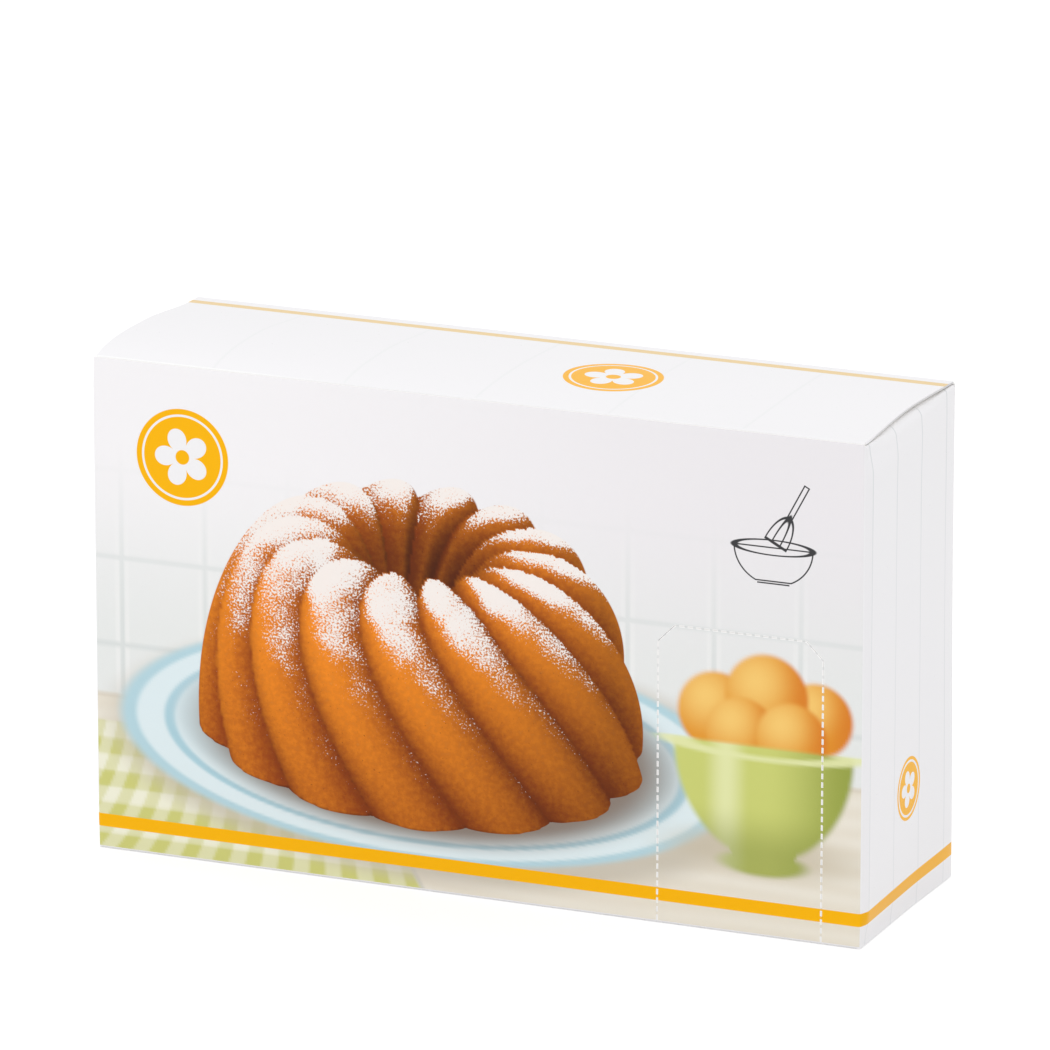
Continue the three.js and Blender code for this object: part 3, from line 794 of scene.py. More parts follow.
def disc_shape(paint, across, up, x, z, radius):
    """A plain disc with a five-petalled blossom left white, and a ring near its edge."""
    off_x = across - x
    off_z = up - z
    away = off_x.hypot(off_z)
    petal = (off_z.combine("ARCTAN2", off_x) * 2.5).combine("SINE").size().combine("POWER", 0.6)
    reach = petal.times_plus(radius * 0.36, radius * 0.24)
    soft = 0.15
    paint.coat(ORANGE, away.rise(radius + soft, radius - soft))
    paint.coat(WHITE_BOARD, (away - radius * 0.86).size().rise(0.5, 0.3))
    paint.coat(WHITE_BOARD, (away - reach).rise(soft, -soft))
    paint.coat(ORANGE, away.rise(radius * 0.15 + soft, radius * 0.15 - soft))


def stripe(paint, along, low, high, tone):
    half = (high - low) / 2
    paint.coat(tone, (along - (low + high) / 2).size().rise(half + 0.1, half - 0.1))


def seam_lines(paint, along, pitch, tone, wide, narrow, strength):
    """Pale lines at an even pitch. Each fades from its narrow to its wide half width."""
    off = ((along / pitch).combine("FRACT") - 0.5).size() * pitch
    paint.coat(tone, off.rise(pitch / 2 - wide, pitch / 2 - narrow) * strength)


def board_paint(name):
    return Paint(name, WHITE_BOARD, BOARD_ROUGHNESS, specular=BOARD_GLOSS)


def board_skin(paint):
    """Ends a paint with the coated board's faint fibre and uneven gloss."""
    fibre = paint.noise(1.4, 3.0, 0.6)
    paint.drive("Roughness", fibre.times_plus(0.12, BOARD_ROUGHNESS - 0.06))
    paint.relief(fibre * 0.35 + paint.noise(9.0), 0.05, 0.25)
    return paint.done()


def whisk(paint, x, z, centre_x, centre_z):
    """A small line drawing of a mixing bowl with a whisk in it."""
    off_x = x - centre_x
    off_z = z - centre_z

    def stroke(distance):
        paint.coat(INK, distance.size().rise(0.32, 0.16))

    def ring(across, along, half_across, half_along):
        least = min(half_across, half_along)
        return ((across / half_across).hypot(along / half_along) - 1.0) * least

    stroke(ring(off_x, off_z, 14.0, 2.6))
    stroke(ring(off_x, off_z, 14.0, 13.0).most(off_z).most(off_z * -1.0 - 11.6))
    stroke((off_z + 12.4).size().most(off_x.size() - 5.5))
    # The whisk leans to the right, in coordinates along and across its handle.
    lean = math.radians(28)
    along = off_x * math.sin(lean) + off_z * math.cos(lean)
    across = off_x * math.cos(lean) - off_z * math.sin(lean)
    shown = along * -1.0 + 1.6
    for half in (4.2, 1.6):
        stroke(ring(across, along - 2.0, half, 10.0).most(shown * 0.5))
    stroke((across.size() - 0.9).most((along - 18.5).size() - 6.5))


def front_print():
    paint = board_paint("front_print")
    paint.coat(paint.stored("backdrop", "Color"), 1.0)
    x, z, _ = paint.axes()
    # The cake, from its shade, its browning and its sugar.
    shade, brown, sugar = paint.axes("cake")
    cake = paint.layer(colour(240, 140, 34))
    crumb = paint.noise(2.2, 4.0, 0.65)
    cake.coat(colour(168, 74, 16), (brown + crumb * 0.7 - 0.35).rise(0.05, 0.95))
    cake.coat(colour(244, 170, 78), (crumb - brown * 0.35).rise(0.42, 0.75) * 0.5)
    cake.mottle(colour(116, 44, 8), (0.9,), 0.66, 0.76, 0.5)
    cake.tone = cake.scaled(cake.tone, shade * 1.12)
    dust = paint.noise(0.75, 2.0, 0.6)
    cover = sugar * 0.62 + (paint.noise(13.0) - 0.5) * 0.55 * sugar.rise(0.0, 0.4)
    powder = (cover + dust - 0.86).rise(-0.06, 0.12) * sugar.rise(0.08, 0.3)
    cake.coat(colour(250, 247, 244), powder * 0.93)
    edge = Field(paint.tree, paint.stored("cake_edge", "Fac"))
    paint.coat(cake.tone, edge.rise(0.012, -0.012))
    # Stripe, disc and line drawing.
    stripe(paint, z, STRIPE_LOW, STRIPE_HIGH, ORANGE)
    disc_shape(paint, x, z, -107.0, 143.0, 17.0)
    whisk(paint, x, z, 108.0, 136.0)
    # White paper shows at the cuts of the perforation.
    away, along, _ = paint.axes("cut")
    dash = (along / 3.0).combine("FRACT").combine("LESS_THAN", 0.66)
    paint.coat(colour(252, 251, 250), away.rise(0.42, 0.3) * dash)
    return board_skin(paint)


def wrap_print():
    """Ends and back: white, with the stripe and a small disc on each end."""
    paint = board_paint("wrap_print")
    around, z, _ = paint.axes()
    strong = z.rise(110.0, HEIGHT).times_plus(0.4, 0.45)
    seam_lines(paint, around, 24.0, colour(218, 221, 223), 0.6, 0.1, strong)
    stripe(paint, z, STRIPE_LOW, STRIPE_HIGH, PALE_ORANGE)
    end_middle = FLAT_HALF_WIDTH + QUARTER * CORNER_RADIUS + HALF_DEPTH - CORNER_RADIUS
    disc_shape(paint, around.size(), z, end_middle, 44.0, 11.0)
    return board_skin(paint)


def lid_print():
    paint = board_paint("lid_print")
    x, y, _ = paint.axes()
    seam_lines(paint, x, 48.0, colour(236, 238, 238), 0.8, 0.2, 0.4)
    stripe(paint, y, HALF_DEPTH - 9.4, HALF_DEPTH - 5.4, colour(238, 208, 151))
    disc_shape(paint, x, y, 34.0, -2.0, 17.0)
    return board_skin(paint)


def plain_board():
    paint = board_paint("white_coat")
    paint.mottle(colour(240, 239, 240), (30.0,), 0.4, 0.7, 0.6)
    return board_skin(paint)


def crease_highlight():
    """The lid's front fold, with a painted highlight of near white along its left part, where the crease
    catches light.
    """
    paint = board_paint("crease_highlight")
    # Painted highlight: near white over the fold's left part, fading out before the middle.
    paint.coat(HIGHLIGHT_WHITE, paint.axes()[0].rise(-40.0, -95.0) * 0.7)
    return board_skin(paint)


def raw_board(name, base, dark, extra_coats=None):
    paint = Paint(name, base, 0.8, specular=0.3)
    paint.mottle(dark, (1.1, 4.0, 0.7, (1.0, 0.35, 1.0)), 0.45, 0.75, 0.5)
    paint.mottle(colour(250, 248, 242), (0.4, 1.0, 0.5), 0.62, 0.76, 0.2)
    if extra_coats:
        extra_coats(paint)
    paint.relief(paint.noise(0.7, 3.0, 0.6), 0.06, 0.4)
    return paint.done()


def unshaded_front_corners(paint):
    """Near its front corners the lid's cut edge goes back to white, out of the painted shade."""
    paint.coat(WHITE_BOARD, paint.axes()[1].rise(LID_FRONT + 15.0, LID_FRONT + 3.0))


def coated_steel():
    paint = Paint("dark_coating", colour(58, 58, 62), 0.42, metallic=0.35)
    paint.mottle(colour(74, 74, 78), (22.0, 3.0, 0.55), 0.4, 0.75, 0.7)
    paint.mottle(colour(96, 95, 96), (1.6, 4.0, 0.7, (0.25, 1.0, 1.0)), 0.62, 0.74, 0.35)
    paint.drive("Roughness", paint.noise(6.0, 3.0, 0.6).times_plus(0.22, 0.32))
    paint.relief(paint.noise(0.9, 3.0, 0.6), 0.05, 0.35)
    return paint.done()


def bright_steel(name, base, grain, rough=0.26):
    paint = Paint(name, base, rough, metallic=1.0)
    streak = paint.noise(0.8, 4.0, 0.7, grain)
    paint.coat(tuple(level * 0.72 for level in base), streak.rise(0.35, 0.75) * 0.55)
    paint.mottle(colour(150, 148, 146), (18.0, 3.0, 0.6), 0.55, 0.8, 0.35)
    paint.drive("Roughness", streak.times_plus(0.22, rough - 0.1))
    paint.relief(streak, 0.02, 0.25)
    return paint.done()


def leaflet_paper():
    paint = Paint("leaflet_paper", colour(246, 243, 234), 0.7, specular=0.3)
    paint.mottle(colour(232, 227, 214), (2.0, 4.0, 0.7), 0.45, 0.8, 0.5)
    stripe(paint, paint.axes()[1], 138.0, 141.0, ORANGE)
    paint.relief(paint.noise(0.8, 3.0, 0.6), 0.04, 0.35)
    return paint.done()


FRONT_PRINT = front_print()
WRAP_PRINT = wrap_print()
LID_PRINT = lid_print()
WHITE = plain_board()
CREASE_HIGHLIGHT = crease_highlight()
INSIDE = raw_board("board_inside", colour(226, 222, 212), colour(196, 190, 176))
EDGE = raw_board("board_edge", colour(252, 251, 250), colour(236, 232, 224))
# The lid's cut edge is painted grey as shade, over the raw board's own fibre mottle. Its front corners stay
# white.
SHADED_LID_EDGE = raw_board("lid_edge_painted_shade", colour(222, 221, 222), colour(205, 204, 206), unshaded_front_corners)
COATED = coated_steel()
TINNED = bright_steel("tinned_sheet", colour(205, 207, 211), (0.12, 1.0, 1.0))
TURNED = bright_steel("turned_steel", colour(214, 214, 216), (1.0, 1.0, 0.15), 0.22)
PAPER = leaflet_paper()

PRINTED = (FRONT_PRINT, INSIDE, EDGE)
WRAPPED = (WRAP_PRINT, INSIDE, EDGE)
COATED_BOARD = (WHITE, INSIDE, EDGE)


# Carton sleeve. Its plan runs from the middle of the front round the right corner, end and back.
SLEEVE = Profile((0, -HALF_DEPTH), 0, [
    (FLAT_HALF_WIDTH,), (90, CORNER_RADIUS), (2 * (HALF_DEPTH - CORNER_RADIUS),),
    (90, CORNER_RADIUS), (2 * FLAT_HALF_WIDTH,),
])
FRONT_END, END_START, END_STOP, BACK_START, BACK_END = SLEEVE.stops[1:]
BACK_MIDDLE = (BACK_START + BACK_END) / 2
END_TOP = HEIGHT - LAYER - END_FOLD_RADIUS
PRINT_STEP = 0.85
BACK_GRID = (lines(-HALF_WIDTH, HALF_WIDTH, 9), lines(0, HEIGHT, 9))


def wander(u, v):
    """Slow hollows and swells of board, from -1 to 1."""
    return (np.sin(u / 47.0 + 0.6) * np.sin(v / 39.0 + 1.1) + 0.5 * np.sin(u / 23.0 + v / 31.0)) / 1.5


def around_end(y):
    """The length round the sleeve at a place on an end."""
    return END_START + y + HALF_DEPTH - CORNER_RADIUS


def end_swell(around, z):
    """How far an end bows out beside its front fold, and at the foot of its back fold."""
    around = np.abs(around)
    rise = smooth(around, FRONT_END, FRONT_END + 5)
    rise *= np.clip((END_STOP - around) / (END_STOP - END_START), 0, 1)
    held = smooth(np.minimum(z, HEIGHT - z), 1, 12)
    behind = smooth(around, END_STOP - 40, END_STOP) * smooth(around, BACK_START + 60, BACK_START)
    return 1.5 * rise * held + 0.8 * behind * smooth(z, 120, 10)


def sleeve_place(around, z, depth):
    side = np.sign(around) + (around == 0)
    length = np.abs(around)
    held = smooth(np.minimum(z, HEIGHT - z), 0, 30)
    folds = [np.abs(length - fold) for fold in (FRONT_END, END_START, END_STOP, BACK_START)]
    hollow = 0.3 * (0.5 + 0.5 * wander(around, z)) * held * smooth(np.minimum.reduce(folds), 0, 26)
    spot = SLEEVE.at(length, depth + hollow)
    past = length > BACK_MIDDLE
    swell = end_swell(np.where(past, 2 * BACK_MIDDLE - length, length), z)
    x = (spot[:, 0] + np.where(past, -swell, swell)) * side
    return np.column_stack([x, spot[:, 1], z])


half, top = PRINT_HALF_WIDTH, HEIGHT - SLIP
front_grid = (lines(-half, half, PRINT_STEP, (-half, -FRONT_END, 0.2), (FRONT_END, half, 0.2)),
              lines(LAYER, top, PRINT_STEP))
front_outline = [(-half, LAYER), *flap_corners(CUT_GAP), (half, LAYER), (half, top), (-half, top)]
front = sheet("front_print_panel", front_outline, front_grid, sleeve_place, BOARD, PRINTED,
              back=BACK_GRID, fields=front_fields)
settle(front, "carton", "printed_board", "front_panel")

corners = flap_corners()
flap = sheet("display_flap_print", [corners[0], *corners[:0:-1]],
             (lines(FLAP_LEFT, FLAP_RIGHT, PRINT_STEP), lines(LAYER, FLAP_TOP, PRINT_STEP)),
             sleeve_place, BOARD, PRINTED, back=BACK_GRID, fields=front_fields)
settle(flap, "display_flap", "printed_board", "display_flap")


def end_outline(side):
    """The end with its two upright folds. Its top carries the dust flap's fold between two slits."""
    start, stop = around_end(FOLD_FRONT), around_end(FOLD_BACK)
    inner = FLAT_HALF_WIDTH + END_LAP
    slit = END_TOP - SLIT_DEPTH
    top = HEIGHT - LAYER + CORNER_RISE
    points = [
        (PRINT_HALF_WIDTH, LAYER), (inner, LAYER), (inner, END_LOW), (BACK_START, END_LOW), (BACK_START, top),
        (stop + DUST_SLIT, top), (stop + DUST_SLIT, slit), (stop, slit), (stop, END_TOP), (start, END_TOP),
        (start, slit), (start - DUST_SLIT, slit), (start - DUST_SLIT, top), (PRINT_HALF_WIDTH, top),
    ]
    return points if side > 0 else [(-u, v) for u, v in points[::-1]]


for side, word in SIDES:
    us = lines(FLAT_HALF_WIDTH + END_LAP, BACK_START, 4.5, (PRINT_HALF_WIDTH, END_START, 0.2),
               (END_START, END_START + 8, 1.0), (END_STOP, BACK_START, 0.3))
    vs = lines(0.0, HEIGHT, 4.5, (0, 12, 1.5), (160, HEIGHT, 1.5))
    end = sheet(f"{word}_end_print", end_outline(side), (us if side > 0 else -us[::-1], vs),
                sleeve_place, BOARD, WRAPPED)
    settle(end, "carton", "printed_board", f"{word}_end_panel")

back = sheet("back_print", box_loop(BACK_START, 2 * LAYER, BACK_END, HEIGHT - FOLD_RADIUS),
             (lines(BACK_START, BACK_END, 5), lines(0, HEIGHT, 5)), sleeve_place, BOARD, WRAPPED)
settle(back, "carton", "printed_board", "back_panel")


# Top of the carton. The line runs up the back, over the lid and down the tuck, in Y and Z.
TUCK_TURN = 90 + TUCK_LEAN
TUCK_TANGENT = FOLD_RADIUS * math.tan(math.radians(TUCK_TURN) / 2)
BACK_RUN = 20
TOP_LINE = Profile((HALF_DEPTH, HEIGHT - BACK_RUN), 90, [
    (BACK_RUN - FOLD_RADIUS,), (90, FOLD_RADIUS), (HALF_DEPTH - LID_FRONT - FOLD_RADIUS - TUCK_TANGENT,),
    (TUCK_TURN, FOLD_RADIUS), (TUCK_DEPTH - TUCK_TANGENT,),
])
BACK_FOLD, LID_START, LID_STOP, TUCK_START, TUCK_STOP = TOP_LINE.stops[1:]


def lid_swell(x, y):
    """How far the lid bows up. Its left end springs up more than its right end, and further forward."""
    back = np.clip((y - LID_FRONT) / (HALF_DEPTH - LID_FRONT), 0, 1)
    left = (1 - np.clip(1 - back / 0.42, 0, 1) ** 2.9) * smooth(back, 0.96, 0.43)
    right = np.sin(math.pi * back ** 1.3)
    across = smooth(x, 110, -HALF_WIDTH)
    return LEFT_SWELL * left * across + RIGHT_SWELL * right * (1 - across)


def top_place(x, along, depth):
    spot = TOP_LINE.at(along, depth)
    flat = smooth(along, LID_START - 1, LID_START + 4) * smooth(along, LID_STOP + 0.6, LID_STOP - 3)
    return np.column_stack([x, spot[:, 0], spot[:, 1] + lid_swell(x, spot[:, 0]) * flat])


def lid_fields(x, along):
    """The lid's print is laid out in X and Y."""
    return {"sheet": np.column_stack([x, HALF_DEPTH - (along - LID_START) - FOLD_RADIUS, np.zeros(len(x))])}


# The lid's side edges curve in a little between its corners.
lid_side = [(LID_HALF_WIDTH - LID_WAIST * math.sin(math.pi * share) ** 2,
             LID_START + share * (LID_STOP - LID_START)) for share in np.linspace(0, 1, 13)]
lid = sheet("lid_print_panel", lid_side + [(-x, along) for x, along in lid_side[::-1]],
            (lines(-LID_HALF_WIDTH, LID_HALF_WIDTH, 4.5), lines(LID_START, LID_STOP, 4)),
            top_place, BOARD, (LID_PRINT, INSIDE, SHADED_LID_EDGE), fields=lid_fields)
settle(lid, "lid", "printed_board", "lid")

# The lid's front fold is painted with a painted highlight along its left part.
for name, start, stop, half, skin, bodies in (
    ("lid_back_fold", BACK_FOLD, LID_START, FLAT_HALF_WIDTH, WHITE, ("carton", "lid")),
    ("lid_front_fold", LID_STOP, TUCK_START, TUCK_FOLD_HALF_WIDTH, CREASE_HIGHLIGHT, ("lid", "lid_tuck")),
):
    strip = sheet(name, box_loop(-half, start, half, stop), (lines(-half, half, 9), lines(start, stop, 0.26)),
                  top_place, BOARD, (skin, INSIDE, EDGE))
    first, last = [(0, y * MM, z * MM) for y, z in TOP_LINE.at([start, stop])]
    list(bodies)
    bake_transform(strip)
    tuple(first)
    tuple(last)

tuck_right = [(TUCK_FOLD_HALF_WIDTH, TUCK_START), (TUCK_HALF_WIDTH, TUCK_START + 2),
              (TUCK_HALF_WIDTH, TUCK_STOP)]
tuck_left = [(-x, along) for x, along in tuck_right[::-1]]
tuck_points = [tuck_left[-1], *tuck_right, *tuck_left[:-1]]
tuck = sheet("lid_tuck_board", rounded(tuck_points, (0, 0, 0, TUCK_RADIUS, TUCK_RADIUS, 0), 9),
             (lines(-TUCK_HALF_WIDTH, TUCK_HALF_WIDTH, 6), lines(TUCK_START, TUCK_STOP, 4)),
             top_place, BOARD, COATED_BOARD)
settle(tuck, "lid_tuck", "white_board", "lid_tuck")


# Dust flaps. Two lines run up the end, over the fold and in under the lid, in X and Z: the fold is
# round in its middle and crisp at its ends.
DUST_FOOT = (HALF_WIDTH, END_TOP)
DUST_LINE = Profile(DUST_FOOT, 90, [(90, END_FOLD_RADIUS), (DUST_LENGTH,)])
CRISP_LINE = Profile(DUST_FOOT, 90, [
    (END_FOLD_RADIUS - CRISP_RADIUS,), (90, CRISP_RADIUS), (END_FOLD_RADIUS - CRISP_RADIUS,), (DUST_LENGTH,)])
DUST_START = DUST_LINE.stops[1]
CRISP_START = CRISP_LINE.stops[3]
DUST_SHIFT = DUST_START - END_FOLD_RADIUS


def dust_place(side):
    def place(along, y, depth):
        middle = smooth(np.minimum(y - FOLD_FRONT, FOLD_BACK - y), 0, 24)[:, None]
        crisp = np.where(along < DUST_START, along * CRISP_START / DUST_START,
                         along - DUST_START + CRISP_START)
        spot = middle * DUST_LINE.at(along, depth) + (1 - middle) * CRISP_LINE.at(crisp, depth)
        lift = 0.4 * smooth(along, 1.0, DUST_START + 3) * lid_swell(side * spot[:, 0], y)
        lean = end_swell(around_end(y), np.minimum(spot[:, 1], HEIGHT - LAYER))
        return np.column_stack([side * (spot[:, 0] + lean), y, spot[:, 1] + lift])
    return place


def fold_fields(along, y):
    """The end's print runs on over the fold."""
    return {"sheet": np.column_stack([around_end(y), END_TOP + along, np.zeros(len(y))])}


dust_tip = DUST_LENGTH + DUST_SHIFT
dust_points = rounded([
    (DUST_START, FOLD_FRONT), (DUST_START + 2.5, DUST_FRONT), (dust_tip - DUST_CHAMFER, DUST_FRONT),
    (dust_tip, DUST_FRONT + DUST_CHAMFER), (dust_tip, DUST_FRONT + DUST_TIP), (4 + DUST_SHIFT, DUST_BACK),
    (DUST_START, FOLD_BACK),
], (0, 0, 3, 3, 3, 0, 0))
for side, word in SIDES:
    place = dust_place(side)
    dust = sheet(f"{word}_dust_flap_board", dust_points,
                 (lines(DUST_START, dust_tip, 4), lines(FOLD_FRONT, FOLD_BACK, 4)),
                 place, BOARD, COATED_BOARD)
    settle(dust, f"{word}_dust_flap", "white_board", f"dust_flap_{word}")
    fold = sheet(f"{word}_end_fold", box_loop(0, FOLD_FRONT, DUST_START, FOLD_BACK),
                 (lines(0, DUST_START, 0.4), lines(FOLD_FRONT, FOLD_BACK, 4)), place, BOARD, WRAPPED,
                 fields=fold_fields)
    first, last = [(side * x * MM, 0, z * MM) for x, z in DUST_LINE.at([0, DUST_START])]
    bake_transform(fold)
    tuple(first)
    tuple(last)


# Bottom of the carton, folded from the front, the back and the two ends.
def bottom_flap(word, line, side, half, length, tip_half, radius, board):
    """line is in the plane that the flap folds in. side is 1 or -1 for an end, and 0 for front and back."""
    fold = line.stops[1]
    inward = 1 if line.parts[0][3] > 0 else -1
    upper = [(length, tip_half), (fold + 2, tip_half), (fold, half), (0, half)]
    outline = rounded([(u, -v) for u, v in upper[::-1]] + upper, (0, 0, 0, radius, radius, 0, 0, 0))

    def place(along, across, depth):
        spot = line.at(along, inward * depth)
        flat = (side * spot[:, 0], across) if side else (across, spot[:, 0])
        return np.column_stack([*flat, spot[:, 1]])

    grid = (lines(0, length, 9, (0, fold, 0.3)), lines(-tip_half, tip_half, 9))
    piece = sheet(f"bottom_{word}_board", outline, grid, place, board, (WHITE, INSIDE, WHITE))
    settle(piece, "carton", "white_board", f"bottom_{word}_flap")


flap_run = 2 * HALF_DEPTH
low_half = HALF_WIDTH - BOARD - 0.1
for word, way, level, length in (
    ("front", -1, LAYER, flap_run + 0.4),
    ("back", 1, 2 * LAYER, flap_run - 1.0),
):
    line = Profile((way * HALF_DEPTH, level), -90, [(-way * 90, FOLD_RADIUS), (flap_run,)])
    bottom_flap(word, line, 0, FLAT_HALF_WIDTH, length, low_half, 1.0, LOW_BOARD)
for side, word in SIDES:
    line = Profile((low_half, 2 * LAYER), 180, [(1,), (BOTTOM_END_LENGTH,)])
    bottom_flap(word, line, side, 41.2, BOTTOM_END_LENGTH, 38.0, 10.0, BOARD)

glue_points = [(GLUE_LEFT, GLUE_LOW), (GLUE_RIGHT, GLUE_LOW + 4.3), (GLUE_RIGHT, GLUE_HIGH - 5),
               (GLUE_LEFT, GLUE_HIGH)]
glue = sheet("glue_flap_board", rounded(glue_points, (0, 2, 2, 0)),
             (lines(GLUE_LEFT, GLUE_RIGHT, 5), lines(GLUE_LOW, GLUE_HIGH, 9)),
             lambda x, z, depth: np.column_stack([x, GLUE_FACE - depth, z]), BOARD, (INSIDE, INSIDE, EDGE))
settle(glue, "carton", "raw_board", "glue_flap")


# Leaflet: one sheet folded in three, standing in the left end.
def leaflet_place(run, z, depth):
    y = LEAF_FRONT + LEAF_WIDTH * np.abs((run / LEAF_WIDTH + 1) % 2 - 1)
    return np.column_stack([LEAF_X + LEAF_LAYER * np.clip(run / LEAF_WIDTH, 0, 3) + depth, y, z])


leaflet = sheet("leaflet_sheet", box_loop(0, LEAF_LOW, 3 * LEAF_WIDTH, LEAF_HIGH),
                (lines(0, 3 * LEAF_WIDTH, LEAF_WIDTH / 8), lines(LEAF_LOW, LEAF_HIGH, 12)),
                leaflet_place, PAPER_SHEET, (PAPER, PAPER, PAPER))
settle(leaflet, "carton", "leaflet_paper", "recipe_leaflet")


# Mould. Its outline and its lobes are shares of its length and height.
OUTLINE_SHARES = [
    (0.0, 0.0), (0.0, 0.14), (0.006, 0.25), (0.03, 0.31), (0.025, 0.42), (0.05, 0.55), (0.12, 0.645),
    (0.24, 0.675), (0.42, 0.655), (0.54, 0.67), (0.6, 0.73), (0.63, 0.84), (0.67, 0.945), (0.75, 1.0),
    (0.84, 0.97), (0.92, 0.885), (0.985, 0.81), (1.0, 0.75), (0.975, 0.7), (0.91, 0.665), (0.862, 0.62),
    (0.85, 0.53), (0.845, 0.4), (0.852, 0.31), (0.872, 0.25), (0.875, 0.14), (0.875, 0.0),
]
LOBE_SHARES = [
    # Centre along, centre up, radius along, radius up, bulge of the half width.
    (0.44, 0.0, 1.6, 0.33, 1.0),
    (0.18, 0.42, 0.2, 0.3, 0.9),
    (0.42, 0.42, 0.24, 0.3, 0.7),
    (0.7, 0.44, 0.17, 0.34, 0.86),
    (0.72, 0.72, 0.17, 0.32, 0.56),
    (0.8, 0.84, 0.2, 0.2, 0.48),
    (0.745, 0.8, 0.055, 0.15, 0.56),
    (0.94, 0.76, 0.12, 0.13, 0.36),
]
LEG_SHARES = [
    # Centre along, centre up, radius along, radius up, tilt, and the height in millimetres.
    (0.2, 0.4, 0.11, 0.13, 0.35, 2.4),
    (0.34, 0.3, 0.12, 0.034, -0.06, 3.0),
    (0.7, 0.4, 0.065, 0.13, -0.4, 2.0),
    (0.62, 0.3, 0.11, 0.034, 0.05, 3.0),
]
DIMPLE_PITCH = 6.4
LEDGES = 12.0
MOULD_STEP = 0.95
SLOPE_NUDGE = 0.4


def along_curve(points, count):
    """Points on a centripetal Catmull-Rom curve."""
    points = [np.array(p, float) for p in points]
    ends = [2 * points[0] - points[1], *points, 2 * points[-1] - points[-2]]
    made = []
    spans = len(points) - 1
    for step in range(count + 1):
        at = min(step / count * spans, spans - 1e-9)
        index = int(at)
        t = at - index
        p0, p1, p2, p3 = ends[index:index + 4]
        d0, d1, d2 = [max(np.linalg.norm(b - a) ** 0.5, 1e-4) for a, b in ((p0, p1), (p1, p2), (p2, p3))]
        t1 = ((p1 - p0) / d0 - (p2 - p0) / (d0 + d1) + (p2 - p1) / d1) * d1
        t2 = ((p2 - p1) / d1 - (p3 - p1) / (d1 + d2) + (p3 - p2) / d2) * d1
        c2 = -3 * p1 + 3 * p2 - 2 * t1 - t2
        c3 = 2 * p1 - 2 * p2 + t1 + t2
        made.append(p1 + t1 * t + c2 * t * t + c3 * t ** 3)
    return np.array(made)


mould_line = along_curve([(MOULD_LEFT + a * MOULD_LENGTH, MOUTH_LEVEL + b * MOULD_HEIGHT)
                          for a, b in OUTLINE_SHARES], 6 * len(OUTLINE_SHARES))
below = MOUTH_LEVEL - MOULD_HEIGHT
closed_line = np.vstack([[mould_line[0, 0], below], mould_line, [mould_line[-1, 0], below]])[::-1]


def mould_shares(x, z):
    return (x - MOULD_LEFT) / MOULD_LENGTH, (z - MOUTH_LEVEL) / MOULD_HEIGHT


def hollow_height(x, z):
    """The pressing's depth from the parting plane, without its fine relief, and the depth in its outline."""
    deep = depth_in(np.stack([x, z], -1), [closed_line])
    along, up = mould_shares(x, z)
    total = np.full(len(x), THINNEST_LOBE ** LOBE_SHARPNESS)
    for centre_along, centre_up, radius_along, radius_up, height in LOBE_SHARES:
        off = ((along - centre_along) / radius_along) ** 2 + ((up - centre_up) / radius_up) ** 2
        total += (height * np.sqrt(np.clip(1 - off, 0, 1))) ** LOBE_SHARPNESS
    fade = 1 - np.clip(deep / EDGE_ROUNDING, 0, 1)
    height = MOULD_HALF_WIDTH * np.minimum(1, total ** (1 / LOBE_SHARPNESS))
    height = height * np.sqrt(np.clip(1 - fade * fade, 0, 1))
    return np.where(deep > 0, height, 0.0), deep


def ridge(off, width):
    """1 where off is 0, falling away on both sides."""
    return np.exp(-(off / width) ** 2)


